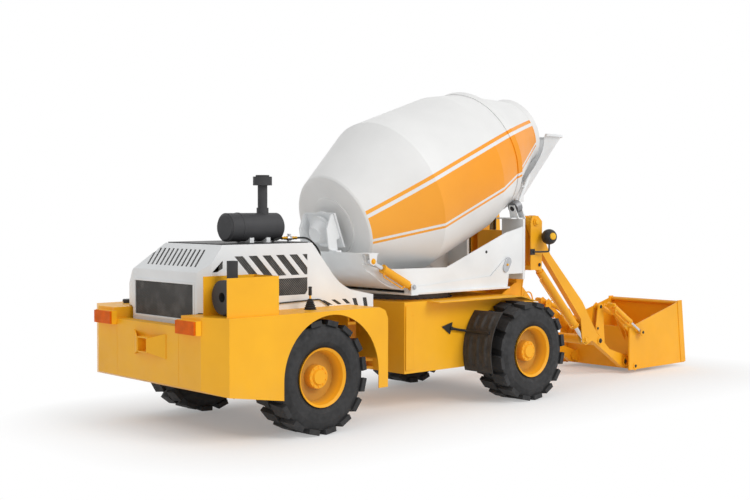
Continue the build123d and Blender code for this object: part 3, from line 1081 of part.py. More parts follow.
# Loading arms: two bent box arms with lift clevis and tilt post, joined by a cross tube
BUCKET_PIN_R = 35.0
TIP_R = 90.0
TILT_PIN_R = 15.0
TUBE_POINT = (2596.0, 470.0)
arm_line = (
    (1190, 2085), (1430, 1690), (2106, 1043), (2410, 620), (2710, 360), (3090, 240),
    (2990, 95), (2335, 500), (2060, 830), (1210, 1770), (1035, 2070),
)
lift_clevis = ((2075, 812), (2115, 500), (2188, 455), (2255, 480), (2330, 506))
tilt_post = ((2395, 640), (2450, 975), (2503, 1008), (2556, 975), (2600, 455))
with BuildPart() as arms:
    slab(arm_line, ARM_Y - ARM_W / 2, ARM_Y + ARM_W / 2)
    for point, radius in ((ARM_PIVOT, 85.0), (BUCKET_PIN, TIP_R)):
        cross_bar(point, ARM_Y - ARM_W / 2, ARM_Y + ARM_W / 2, radius)
    for outline in (lift_clevis, tilt_post):
        for inner_y in (ARM_Y - ARM_W / 2, ARM_Y + ARM_W / 2 - EYE_PLATE_T):
            slab(outline, inner_y, inner_y + EYE_PLATE_T)
    for point, radius in ((ARM_PIVOT, ARM_PIN_R), (BUCKET_PIN, BUCKET_PIN_R)):
        cross_bar(point, ARM_Y - ARM_W, ARM_Y + ARM_W, radius + RUNNING, Mode.SUBTRACT)
    cross_bar(TILT_BASE, ARM_Y - ARM_W / 2 - 6, ARM_Y + ARM_W / 2 + 6, TILT_PIN_R)
    cross_bar(TUBE_POINT, 0, ARM_Y - ARM_W / 2, 65)
    mirror(about=Plane.XZ)
keep("loading_arms", arms.part)
GATE_EYE_W = 50.0
GATE_BASE_PIN_R = 14.0
cylinder_pair(
    "lift_cylinder", LIFT_BASE, LIFT_EYE, ARM_Y, barrel_r=54.0, rod_r=28.0, shoulder=128.0,
    barrel_len=1180.0, eye_r=42.0, eye_w=ARM_EYE_W, pin_r=LIFT_PIN_R, retract=0.0,
)
cylinder_pair(
    "tilt_cylinder", TILT_BASE, TILT_EYE, ARM_Y, barrel_r=36.0, rod_r=20.0, shoulder=74.0,
    barrel_len=320.0, eye_r=29.0, eye_w=ARM_EYE_W, pin_r=TILT_PIN_R, retract=78.0,
)
cylinder_pair(
    "gate_cylinder", GATE_BASE, GATE_EYE, GATE_Y, barrel_r=34.0, rod_r=18.0, shoulder=46.0,
    barrel_len=480.0, eye_r=30.0, eye_w=GATE_EYE_W, pin_r=GATE_BASE_PIN_R, retract=136.0,
)

# Bucket, fixed part: rear wall, floor, lugs on the arms' pins, tilt brackets and gate outriggers
BACK_X = 3150.0
BACK_HALF = BUCKET_HALF - 12.0 - CLEAR
BUCKET_T = 15.0
GATE_PIN_R = 25.0
bucket_lug = (
    (BACK_X, 250), (BUCKET_PIN[0] - 20, 215), (BUCKET_PIN[0] - 52, 163), (BUCKET_PIN[0] - 20, 111),
    (BACK_X, 70),
)
tilt_bracket = (
    (BACK_X, 630), (TILT_EYE[0] + 10, 845), (TILT_EYE[0] - 38, 812), (TILT_EYE[0] - 20, 765),
    (BACK_X, 450),
)
outrigger = (
    (BACK_X, 630), (GATE_BASE[0] + 20, 1020), (GATE_BASE[0] - 35, 1000), (GATE_BASE[0] - 25, 945), (BACK_X, 480),
)
with BuildPart() as bucket_back:
    for inner_y in (cheek_in_y - EAR_T, cheek_out_y):
        slab(bucket_lug, inner_y, inner_y + EAR_T)
    cross_bar(BUCKET_PIN, cheek_in_y - EAR_T, cheek_out_y + EAR_T, BUCKET_PIN_R)
    for inner_y in (ARM_Y - eye_reach - EYE_PLATE_T, ARM_Y + eye_reach):
        slab(tilt_bracket, inner_y, inner_y + EYE_PLATE_T)
    slab(outrigger, BACK_HALF - EYE_PLATE_T, BACK_HALF)
    cross_bar(GATE_PIN, BACK_HALF - EYE_PLATE_T, BUCKET_HALF + 8, GATE_PIN_R)
    cross_bar(GATE_BASE, BACK_HALF, GATE_Y - GATE_EYE_W / 2 - EYE_GAP, 28)
    cross_bar(GATE_BASE, BACK_HALF, GATE_Y + GATE_EYE_W / 2 + 14, GATE_BASE_PIN_R)
    mirror(about=Plane.XZ)
    block(BACK_X, BACK_X + BUCKET_T, -BACK_HALF, BACK_HALF, BUCKET_FLOOR_Z, BUCKET_BACK_Z)
    block(BACK_X, BUCKET_LIP_X - 28, -BACK_HALF, BACK_HALF, BUCKET_FLOOR_Z, BUCKET_FLOOR_Z + BUCKET_T)
keep("bucket_back", bucket_back.part)

# Bucket, opening part: side plates, slanted front, front strips, top tube and cylinder bosses
gate_side = (
    (BUCKET_REAR_X, BUCKET_FLOOR_Z), (BUCKET_REAR_X - 5, 635), (4215, BUCKET_FRONT_Z),
    (BUCKET_FRONT_X, BUCKET_FRONT_Z), (BUCKET_LIP_X, 62), (BUCKET_LIP_X - 20, BUCKET_FLOOR_Z),
)
gate_front = (
    (BUCKET_FRONT_X - 12, BUCKET_FRONT_Z), (BUCKET_FRONT_X, BUCKET_FRONT_Z), (BUCKET_LIP_X, 62),
    (BUCKET_LIP_X - 12, 62),
)
with BuildPart() as bucket_gate:
    slab(gate_side, BUCKET_HALF - 12, BUCKET_HALF)
    slab(((BUCKET_FRONT_X - 100, BUCKET_FRONT_Z + 14), (BUCKET_FRONT_X + 8, BUCKET_FRONT_Z + 14), (BUCKET_LIP_X, 60),
          (BUCKET_LIP_X - 110, 60)), BUCKET_HALF, BUCKET_HALF + 8)
    slab(((BUCKET_REAR_X + 4, BUCKET_FLOOR_Z + 6), (BUCKET_REAR_X + 2, 628), (BUCKET_REAR_X + 42, 640),
          (BUCKET_REAR_X + 44, BUCKET_FLOOR_Z + 6)), BUCKET_HALF, BUCKET_HALF + 6)
    cross_bar(GATE_PIN, BUCKET_HALF - 12, BUCKET_HALF, 60)
    cross_bar(GATE_PIN, BUCKET_HALF - 14, BUCKET_HALF + 2, GATE_PIN_R + RUNNING, Mode.SUBTRACT)
    cross_bar(GATE_EYE, BUCKET_HALF, GATE_Y - GATE_EYE_W / 2 - EYE_GAP, 26)
    mirror(about=Plane.XZ)
    slab(gate_front, -BUCKET_HALF + 12, BUCKET_HALF - 12)
    cross_bar((BUCKET_FRONT_X - 30, BUCKET_FRONT_Z - 30), -BUCKET_HALF + 12, BUCKET_HALF - 12, 26)
keep("bucket_gate", bucket_gate.part)

# Cab: platform, hollow shell with its windows cut, roof, panes, seat and controls
CAB_WAIST_Z = 1400.0
CAB_HEAD_Z = 2220.0
CAB_SLOPE_X = 1660.0
CAB_BEAM_Z = 650.0
PANE_T = 6.0
DOOR_X0 = 965.0
DOOR_X1 = 1635.0
DOOR_Z0 = 800.0
DOOR_Z1 = 2230.0
DOOR_T = 30.0
cab_top = CAB_ROOF_Z - 40.0
cab_line = (
    (CAB_REAR_X, CAB_FLOOR_Z), (CAB_REAR_X, cab_top), (CAB_SLOPE_X, cab_top), (CAB_FRONT_X, CAB_WAIST_Z),
    (CAB_FRONT_X, CAB_FLOOR_Z),
)
with BuildPart() as platform:
    block(CAB_REAR_X - 10, CAB_REAR_X + 90, NOSE_HALF, CAB_OUT_Y - 10, CAB_BEAM_Z, CAB_FLOOR_Z - 10)
    block(CAB_FRONT_X - 110, CAB_FRONT_X - 30, CAB_IN_Y + 20, CAB_OUT_Y - 10, CAB_BEAM_Z + 30, CAB_FLOOR_Z - 10)
    for y in (CAB_IN_Y + 20, CAB_OUT_Y - 90):
        block(CAB_REAR_X + 90, CAB_FRONT_X - 110, y, y + 80, CAB_BEAM_Z + 30, CAB_FLOOR_Z - 10)
    block(CAB_REAR_X, CAB_FRONT_X, CAB_IN_Y, CAB_OUT_Y, CAB_FLOOR_Z - 10, CAB_FLOOR_Z)
    block(1100, 1500, CAB_OUT_Y - 60, CAB_OUT_Y, 400, 412)
    for x in (1100, 1488):
        block(x, x + 12, CAB_OUT_Y - 60, CAB_OUT_Y - 10, 412, CAB_BEAM_Z + 30)
keep("cab_platform", platform.part)
with BuildPart() as cab_shell:
    slab(cab_line, CAB_IN_Y, CAB_OUT_Y)
    with BuildSketch(Plane.XZ.offset(-CAB_OUT_Y + CAB_WALL)):
        with BuildLine():
            Polyline(*cab_line, close=True)
        make_face()
        offset(amount=-CAB_WALL, mode=Mode.REPLACE)
    extrude(amount=CAB_OUT_Y - CAB_IN_Y - 2 * CAB_WALL, mode=Mode.SUBTRACT)
    for x0, x1, y0, y1, z0, z1 in (
        (CAB_REAR_X - 1, CAB_REAR_X + CAB_WALL + 1, CAB_IN_Y + 70, CAB_OUT_Y - 70, CAB_WAIST_Z, CAB_HEAD_Z),
        (CAB_SLOPE_X - 60, CAB_FRONT_X + 1, CAB_IN_Y + 60, CAB_OUT_Y - 60, CAB_WAIST_Z + 40, CAB_HEAD_Z),
        (CAB_REAR_X + 80, CAB_SLOPE_X - 70, CAB_IN_Y - 1, CAB_IN_Y + CAB_WALL + 1, CAB_WAIST_Z, CAB_HEAD_Z),
        (DOOR_X0, DOOR_X1, CAB_OUT_Y - CAB_WALL - 1, CAB_OUT_Y + 1, DOOR_Z0, DOOR_Z1),
    ):
        block(x0, x1, y0, y1, z0, z1, Mode.SUBTRACT)
keep("cab_shell", cab_shell.part)
with BuildPart() as cab_roof:
    block(CAB_REAR_X - 15, CAB_SLOPE_X + 60, CAB_IN_Y + 3, CAB_OUT_Y, cab_top, CAB_ROOF_Z)
    fillet(cab_roof.edges().group_by(Axis.Z)[-1], radius=22)
keep("cab_roof", cab_roof.part)


def front_x(z):
    """The X of the cab's sloping front face at a height."""
    return CAB_FRONT_X - (z - CAB_WAIST_Z) * (CAB_FRONT_X - CAB_SLOPE_X) / (cab_top - CAB_WAIST_Z)


with BuildPart() as cab_glass:
    block(CAB_REAR_X + 15, CAB_REAR_X + 15 + PANE_T, CAB_IN_Y + 70, CAB_OUT_Y - 70, CAB_WAIST_Z, CAB_HEAD_Z)
    block(CAB_REAR_X + 80, CAB_SLOPE_X - 70, CAB_IN_Y + 15, CAB_IN_Y + 15 + PANE_T, CAB_WAIST_Z, CAB_HEAD_Z)
    slab(((front_x(CAB_WAIST_Z + 40) - 20, CAB_WAIST_Z + 40), (front_x(CAB_HEAD_Z) - 20, CAB_HEAD_Z),
          (front_x(CAB_HEAD_Z) - 20 - PANE_T, CAB_HEAD_Z), (front_x(CAB_WAIST_Z + 40) - 20 - PANE_T, CAB_WAIST_Z + 40)),
         CAB_IN_Y + 60, CAB_OUT_Y - 60)
keep("cab_glass", cab_glass.part)

CAB_MID_Y = (CAB_IN_Y + CAB_OUT_Y) / 2
cab_inner_z = CAB_FLOOR_Z + CAB_WALL
with BuildPart() as seat:
    block(1060, 1300, CAB_MID_Y - 150, CAB_MID_Y + 150, cab_inner_z, 1150)
    block(1020, 1420, CAB_MID_Y - 220, CAB_MID_Y + 220, 1150, 1260)
    slab(((1000, 1200), (1100, 1260), (1050, 1800), (960, 1800)), CAB_MID_Y - 210, CAB_MID_Y + 210)
keep("cab_seat", seat.part)
with BuildPart() as controls:
    bar((1600, CAB_MID_Y, cab_inner_z), (1600, CAB_MID_Y, 1180), 40)
    bar((1600, CAB_MID_Y, 1100), (1488, CAB_MID_Y, 1446), 30)
    with BuildSketch(Plane(origin=(1488, CAB_MID_Y, 1446), z_dir=(-110, 0, 340))) as wheel_ring:
        Circle(175)
        Circle(155, mode=Mode.SUBTRACT)
        Rectangle(320, 36)
        Circle(45)
    extrude(wheel_ring.sketch, amount=22)
    block(1580, CAB_FRONT_X - CAB_WALL, CAB_IN_Y + 60, CAB_OUT_Y - 60, 1180, 1290)
keep("cab_controls", controls.part)

# Cab door with its pane, on knuckles outside the rear post
HINGE_X = DOOR_X0 - 8.0
HINGE_Y = CAB_OUT_Y + 12.0
HINGE_R = 11.0
KNUCKLE_L = 60.0
KNUCKLE_Z = (1000.0, 2000.0)
door_y0 = CAB_OUT_Y - DOOR_T - 4
door_y1 = CAB_OUT_Y - 4
with BuildPart() as door:
    block(DOOR_X0 + CLEAR, DOOR_X1 - CLEAR, door_y0, door_y1, DOOR_Z0 + CLEAR, DOOR_Z1 - CLEAR)
    block(DOOR_X0 + 60, DOOR_X1 - 60, door_y0, door_y1, CAB_WAIST_Z, DOOR_Z1 - 65, Mode.SUBTRACT)
    for z in KNUCKLE_Z:
        bar((HINGE_X, HINGE_Y, z + RUNNING), (HINGE_X, HINGE_Y, z + KNUCKLE_L), HINGE_R)
        block(HINGE_X, DOOR_X0 + 50, HINGE_Y - 8, HINGE_Y, z + RUNNING, z + KNUCKLE_L)
        block(DOOR_X0 + 20, DOOR_X0 + 50, door_y1, HINGE_Y - 8, z + RUNNING, z + KNUCKLE_L)
    block(DOOR_X1 - 110, DOOR_X1 - 80, door_y1, door_y1 + 30, 1200, 1320)
keep("cab_door", door.part)
with BuildPart() as door_pane:
    block(DOOR_X0 + 60, DOOR_X1 - 60, door_y0 + 12, door_y0 + 12 + PANE_T, CAB_WAIST_Z, DOOR_Z1 - 65)
keep("cab_door_glass", door_pane.part)
with BuildPart() as knuckles:
    for z in KNUCKLE_Z:
        bar((HINGE_X, HINGE_Y, z - KNUCKLE_L), (HINGE_X, HINGE_Y, z), HINGE_R)
        block(HINGE_X - 40, HINGE_X, CAB_OUT_Y, HINGE_Y, z - KNUCKLE_L, z)
keep("cab_hinges", knuckles.part)

os.makedirs("parts", exist_ok=True)
for name, part in pieces.items():
    export_step(part, f"parts/{name}.step")
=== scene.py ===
"""Looks of the self-loading concrete mixer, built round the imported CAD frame.

Metres, in the frame's own axes: +X towards the bucket, +Y to the left, +Z up.
"""
import math

import bmesh
import bpy
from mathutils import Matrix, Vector


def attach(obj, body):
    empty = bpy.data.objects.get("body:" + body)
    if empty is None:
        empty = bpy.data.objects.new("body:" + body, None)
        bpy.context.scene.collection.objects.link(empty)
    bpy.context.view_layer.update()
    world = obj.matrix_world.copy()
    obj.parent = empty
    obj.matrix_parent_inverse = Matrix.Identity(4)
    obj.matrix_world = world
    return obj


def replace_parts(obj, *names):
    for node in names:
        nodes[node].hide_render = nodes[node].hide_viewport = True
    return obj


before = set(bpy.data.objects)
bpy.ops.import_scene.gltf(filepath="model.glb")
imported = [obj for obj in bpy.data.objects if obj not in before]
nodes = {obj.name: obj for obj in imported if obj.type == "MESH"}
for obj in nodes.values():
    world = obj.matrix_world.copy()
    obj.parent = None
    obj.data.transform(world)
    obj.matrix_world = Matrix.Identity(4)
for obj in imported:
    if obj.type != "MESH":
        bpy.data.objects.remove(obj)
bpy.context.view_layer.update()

# Camera of the photograph: its place, its turns in degrees, its lens and sensor in millimetres
CAMERA_AT = (-10.927, -10.577, 2.346)
CAMERA_YAW = 47.396
CAMERA_PITCH = 2.185
CAMERA_ROLL = 0.066
LENS = 58.67
SENSOR = 36.0
CLIP_END = 200.0

# Drum as in the CAD: where its axis starts, how it leans, and how far along it the track ring lies
DRUM_AT = (-1.846, 0.0, 2.096)
DRUM_TILT = math.radians(20.86)
DRUM_AXIS = (math.cos(DRUM_TILT), 0.0, math.sin(DRUM_TILT))
DRUM_UP = (-math.sin(DRUM_TILT), 0.0, math.cos(DRUM_TILT))
TRACK_ALONG = 2.422

# Pins as in the CAD, at rest: x and z
ARM_PIVOT = (1.109, 2.111)
LIFT_BASE = (1.175, 1.566)
LIFT_EYE = (2.188, 0.525)
LINK_LOW = (2.490, 0.490)
LINK_MIDDLE = (2.438, 0.662)
TILT_BASE = (2.503, 0.951)
TILT_EYE = (2.955, 0.800)
ARM_END = (3.049, 0.163)
GATE_BASE = (2.560, 0.980)
GATE_PIN = (3.153, 0.098)
GATE_EYE = (3.225, 0.566)
CRADLE_LOW = (-1.306, 1.402)
CRADLE_HIGH = (-1.925, 1.712)
CRADLE_PIVOT = (0.384, 1.597)

SIDES = ((1, "left"), (-1, "right"))
UP = (0, 0, 1)

# Bodies that carry most of the pieces
FRONT = "front_chassis"
REAR = "rear_chassis"


def linear(colour):
    """Linear RGBA of an sRGB colour given as 0 to 255."""
    shares = [c / 255 for c in colour]
    return tuple(s / 12.92 if s <= 0.04045 else ((s + 0.055) / 1.055) ** 2.4 for s in shares) + (1.0,)


def shade(colour, factor):
    """The colour made darker or lighter, its channels kept between 0 and 255."""
    return tuple(min(255.0, max(0.0, c * factor)) for c in colour)


class Graph:
    """The node tree of a material or world, with short calls for the nodes used here."""

    def __init__(self, owner):
        owner.use_nodes = True
        self.tree = owner.node_tree

    def node(self, kind, **values):
        """A new node with its own settings."""
        made = self.tree.nodes.new(kind)
        for key, value in values.items():
            setattr(made, key, value)
        return made

    def put(self, socket, value):
        """Link an output to the socket, or set the socket's own value."""
        if isinstance(value, bpy.types.NodeSocket):
            self.tree.links.new(value, socket)
        else:
            socket.default_value = value

    def filled(self, made, *values):
        """The node with its first inputs linked or set, in their order."""
        for socket, value in zip(made.inputs, values):
            self.put(socket, value)
        return made

    def math(self, operation, first, second=0.0):
        """One step of arithmetic."""
        return self.filled(self.node("ShaderNodeMath", operation=operation), first, second).outputs[0]

    def product(self, first, *others):
        """All the factors multiplied."""
        for other in others:
            first = self.math("MULTIPLY", first, other)
        return first

    def length(self, first, second):
        """Length of a flat vector with these two parts."""
        return self.math("SQRT", self.math("ADD", self.product(first, first), self.product(second, second)))

    def spread(self, value, low_in, high_in, low, high):
        """The range from low_in to high_in laid over that from low to high, and kept within it."""
        return self.filled(self.node("ShaderNodeMapRange"), value, low_in, high_in, low, high).outputs[0]

    def mix_shaders(self, share, first, second):
        """Two shaders mixed by a share of the second."""
        return self.filled(self.node("ShaderNodeMixShader"), share, first, second).outputs[0]

    def in_view(self):
        """One for rays from the camera, straight, off a gloss or through glass, else zero."""
        rays = self.node("ShaderNodeLightPath").outputs
        seen = self.math("MAXIMUM", rays["Is Camera Ray"], rays["Is Glossy Ray"])
        return self.math("MAXIMUM", seen, rays["Is Transmission Ray"])


class Surface(Graph):
    """A new material, patterned by the place on the machine."""

    def __init__(self, name):
        self.material = bpy.data.materials.new(name)
        super().__init__(self.material)
        self.shader = self.tree.nodes["Principled BSDF"]
        self.place = self.node("ShaderNodeTexCoord").outputs["Object"]

    def axes(self):
        """The place's X, Y and Z."""
        return self.filled(self.node("ShaderNodeSeparateXYZ"), self.place).outputs

    def dot(self, vector, direction):
        """Share of the vector that lies along the direction."""
        made = self.node("ShaderNodeVectorMath", operation="DOT_PRODUCT")
        return self.filled(made, vector, direction).outputs["Value"]

    def minus(self, vector, point):
        """The vector from the point."""
        made = self.node("ShaderNodeVectorMath", operation="SUBTRACT")
        return self.filled(made, vector, point).outputs["Vector"]

    def noise(self, scale, detail, roughness=0.5):
        """Cloudy noise between 0 and 1."""
        made = self.node("ShaderNodeTexNoise")
        made.inputs["Scale"].default_value = scale
        made.inputs["Detail"].default_value = detail
        made.inputs["Roughness"].default_value = roughness
        self.put(made.inputs["Vector"], self.place)
        return made.outputs["Fac"]

    def patches(self, scale, detail, low=0.0, high=1.0, roughness=0.5, dark=0.3, light=0.7):
        """Patches of noise: low where the noise is under dark, high where it is over light."""
        return self.spread(self.noise(scale, detail, roughness), dark, light, low, high)

    def mix(self, share, first, second):
        """Two colours mixed by a share of the second."""
        made = self.node("ShaderNodeMix", data_type="RGBA")
        self.put(made.inputs["Factor"], share)
        self.put(made.inputs[6], first)
        self.put(made.inputs[7], second)
        return made.outputs[2]

    def tinted(self, share, colour, dark, light):
        """The colour times dark where the share is zero, and times light where it is one."""
        return self.mix(share, linear(shade(colour, dark)), linear(shade(colour, light)))

    def bump(self, height, strength, distance):
        """Fine relief from a height."""
        made = self.node("ShaderNodeBump")
        made.inputs["Strength"].default_value = strength
        made.inputs["Distance"].default_value = distance
        self.put(made.inputs["Height"], height)
        self.put(self.shader.inputs["Normal"], made.outputs["Normal"])

    def set(self, **values):
        """Set or link the shader's sockets, named with underscores for spaces."""
        for key, value in values.items():
            self.put(self.shader.inputs[key.replace("_", " ")], value)


# Dust on the lower paint: its colour, and the heights where it is thickest and where it ends
DUST = (176, 158, 128)
DUST_THICK = 0.35
DUST_END = 0.95


def painted(name, colour, roughness=0.42, coat=0.06, cloud=0.03, grain=0.03, dust=0.0):
    """Sprayed paint: a faint cloud in its colour, fine peel in its surface, and dust near the ground."""
    g = Surface(name)
    base = g.tinted(g.patches(scale=1.7, detail=4.0), colour, 1 - cloud, 1 + cloud)
    if dust:
        low = g.spread(g.axes()["Z"], DUST_THICK, DUST_END, dust, 0.0)
        spots = g.patches(scale=5.0, detail=6.0, low=0.2, roughness=0.6, dark=0.35, light=0.75)
        base = g.mix(g.product(low, spots), base, linear(DUST))
    g.set(Base_Color=base, Coat_Weight=coat, Coat_Roughness=0.12, Specular_IOR_Level=0.35)
    g.set(Roughness=g.patches(scale=9.0, detail=5.0, low=roughness - 0.05, high=roughness + 0.08))
    g.bump(g.noise(scale=260.0, detail=2.0), strength=grain, distance=0.002)
    return g.material


# Band on the drum: where it starts and ends along the axis, and the angles of its edges about the axis
BAND_START = 0.03
BAND_END = 3.2
BAND_TOP_START = math.radians(15.6)
BAND_TOP_END = math.radians(24.0)
BAND_LOW = math.radians(-22.6)
# Thin line of each edge, and where the broad band begins behind the white gap, from the edge inwards
TOP_LINE = (0.042, 0.084)
LOW_LINE = (0.030, 0.062)
# Paler orange towards the drum's closed end
PALE_ORANGE = (255, 190, 84)
PALE_SHARE = 0.45
PALE_END = 1.9


def drum_paint(name, white_colour, orange):
    """White drum with a broad orange band on each side, edged by thin white and orange lines."""
    g = Surface(name)
    from_start = g.minus(g.place, DRUM_AT)
    side = g.math("ABSOLUTE", g.dot(from_start, (0.0, 1.0, 0.0)))
    up = g.dot(from_start, DRUM_UP)
    along = g.dot(from_start, DRUM_AXIS)
    angle = g.math("ARCTAN2", up, side)
    radius = g.length(side, up)
    top = g.spread(along, 0.0, BAND_END, BAND_TOP_START, BAND_TOP_END)
    below_top = g.product(g.math("SUBTRACT", top, angle), radius)
    above_low = g.product(g.math("SUBTRACT", angle, BAND_LOW), radius)
    factors = [g.math("GREATER_THAN", along, BAND_START), g.math("LESS_THAN", along, BAND_END)]
    for distance, (line, gap_end) in ((below_top, TOP_LINE), (above_low, LOW_LINE)):
        within = g.math("GREATER_THAN", distance, 0.0)
        in_gap = g.product(g.math("GREATER_THAN", distance, line), g.math("LESS_THAN", distance, gap_end))
        factors.append(g.math("SUBTRACT", within, in_gap))
    cloudy = g.patches(scale=1.3, detail=4.0)
    plain = g.tinted(cloudy, white_colour, 0.98, 1.02)
    band = g.tinted(cloudy, orange, 0.97, 1.03)
    band = g.mix(g.spread(along, 0.0, PALE_END, PALE_SHARE, 0.0), band, linear(PALE_ORANGE))
    g.set(Base_Color=g.mix(g.product(*factors), plain, band))
    g.set(Coat_Weight=0.08, Coat_Roughness=0.1, Specular_IOR_Level=0.35)
    g.set(Roughness=g.patches(scale=8.0, detail=5.0, low=0.3, high=0.42))
    g.bump(g.noise(scale=200.0, detail=2.0), strength=0.03, distance=0.002)
    return g.material


# Wheels' dish: distances from the middle at its bottom and at its edge
DISH_BOTTOM = 1.04
DISH_EDGE = 1.13


def rim_paint(name, colour, dish_shade_colour):
    """Paint of the wheels: the colour on hub and edge, with painted shade that makes it darker and duller
    down in the dish.
    """
    g = Surface(name)
    # Painted shade down in the dish: the darker colour mixed in towards its bottom, in patches
    depth = g.spread(g.math("ABSOLUTE", g.axes()["Y"]), DISH_BOTTOM, DISH_EDGE, 1.0, 0.0)
    dish_shade = g.product(depth, g.patches(scale=3.0, detail=4.0, low=0.75))
    g.set(Base_Color=g.mix(dish_shade, linear(colour), linear(dish_shade_colour)))
    g.set(Roughness=0.45, Specular_IOR_Level=0.3)
    g.bump(g.noise(scale=240.0, detail=2.0), strength=0.04, distance=0.002)
    return g.material


def rubber(name, colour):
    """Rubber: dull, faintly mottled, with a moulding grain."""
    g = Surface(name)
    mottled = g.patches(scale=7.0, detail=6.0, roughness=0.6, dark=0.35)
    g.set(Base_Color=g.tinted(mottled, colour, 0.85, 1.25))
    g.set(Roughness=g.patches(scale=20.0, detail=4.0, low=0.68, high=0.88))
    g.bump(g.noise(scale=120.0, detail=5.0, roughness=0.7), strength=0.25, distance=0.003)
    return g.material


def metal(name, colour, roughness):
    """Bare steel or brass, ground or chromed."""
    g = Surface(name)
    grain = g.patches(scale=25.0, detail=5.0, roughness=0.6)
    g.set(Base_Color=g.tinted(grain, colour, 0.92, 1.0))
    g.set(Metallic=1.0, Roughness=g.spread(grain, 0.0, 1.0, roughness, roughness + 0.08))
    g.bump(g.noise(scale=300.0, detail=3.0), strength=0.05, distance=0.001)
    return g.material


# Screens of the hood: distance between the holes, and the colours of dull wire, of wire with a painted glint,
# and of the painted shade seen through the holes
SCREEN_PITCH = 0.026
WIRE_DULL = (72, 71, 70)
WIRE_PAINTED_GLINT = (108, 107, 105)
HOLE_PAINTED_SHADE = (14, 14, 14)


def mesh_screen(name):
    """Dark woven screen: a fine square pattern of holes, painted with the shade behind them, in wire with
    patches of painted glint.
    """
    g = Surface(name)
    x, y, z = g.axes()
    waves = [g.math("SINE", g.product(way, 2 * math.pi / SCREEN_PITCH)) for way in (g.math("ADD", x, y), z)]
    holes = g.product(*waves)
    # Painted glint: patches where the wire is lighter
    painted_glint = g.patches(scale=6.0, detail=5.0, roughness=0.6, dark=0.45)
    wire = g.mix(painted_glint, linear(WIRE_DULL), linear(WIRE_PAINTED_GLINT))
    # Painted shade in the holes, darker than the wire
    g.set(Base_Color=g.mix(g.spread(holes, -0.2, 0.5, 0.0, 1.0), wire, linear(HOLE_PAINTED_SHADE)))
    g.set(Roughness=0.7)
    g.bump(holes, strength=0.5, distance=0.003)
    return g.material


def lens(name, colour, ribs):
    """Moulded lamp lens with vertical ribs, given in radians of their wave to the metre."""
    g = Surface(name)
    g.set(Base_Color=g.tinted(g.patches(scale=12.0, detail=3.0), colour, 0.94, 1.05))
    g.set(Roughness=0.5, Specular_IOR_Level=0.12)
    g.bump(g.math("SINE", g.product(g.axes()["Y"], ribs)), strength=0.2, distance=0.003)
    return g.material


def glass(name, clear, streak):
    """Tinted safety glass with faint streaks."""
    g = Surface(name)
    streaks = g.patches(scale=3.0, detail=5.0, roughness=0.6, dark=0.35, light=0.75)
    g.set(Base_Color=g.mix(streaks, linear(clear), linear(streak)))
    g.set(Roughness=0.03, Transmission_Weight=0.92, IOR=1.3)
    g.bump(g.noise(scale=2.0, detail=2.0), strength=0.02, distance=0.002)
    return g.material


def vinyl(name, colour):
    """Grained black vinyl of the seat."""
    g = Surface(name)
    cells = g.node("ShaderNodeTexVoronoi")
    cells.inputs["Scale"].default_value = 260.0
    g.put(cells.inputs["Vector"], g.place)
    g.set(Base_Color=g.tinted(g.patches(scale=14.0, detail=4.0), colour, 0.8, 1.25))
    g.set(Roughness=0.55)
    g.bump(cells.outputs["Distance"], strength=0.35, distance=0.0012)
    return g.material


yellow = painted("yellow_paint", (253, 182, 30), dust=0.10)
arm_yellow = painted("arm_yellow", (250, 176, 28))
# Wheels' paint, with a darker colour given for the painted shade in their dish
rim_yellow = rim_paint("rim_yellow", (250, 178, 36), (190, 140, 62))
white = painted("white_paint", (236, 238, 239), roughness=0.4)
band_drum = drum_paint("drum_paint", (236, 236, 235), (252, 158, 22))
tyre_rubber = rubber("tyre_rubber", (42, 42, 43))
black_paint = painted("black_paint", (40, 40, 41), roughness=0.5, coat=0.1, cloud=0.12)
muffler_grey = painted("muffler_grey", (58, 58, 60), roughness=0.55, coat=0.0, cloud=0.12, grain=0.08)
guard_rubber = rubber("guard_rubber", (52, 50, 48))
chrome = metal("chrome", (225, 226, 228), 0.12)
steel = metal("steel", (150, 150, 152), 0.38)
dark_steel = metal("dark_steel", (92, 92, 95), 0.5)
screen = mesh_screen("black_screen")
red_lens = lens("tail_lens", (228, 100, 6), 900.0)
amber_lens = lens("work_lens", (250, 190, 60), 700.0)
# Cab glass tinted dark bronze as painted shade: it gives the look of a yellow wall in shadow behind the drum
glass_tinted_as_shade = glass("cab_glass", (150, 128, 84), (138, 116, 74))
black_vinyl = vinyl("seat_vinyl", (32, 32, 34))
brass = metal("brass", (214, 160, 52), 0.3)
hose_rubber = rubber("hose_rubber", (22, 22, 23))
gasket_rubber = rubber("gasket_rubber", (26, 26, 27))
zinc = metal("zinc", (196, 197, 200), 0.32)

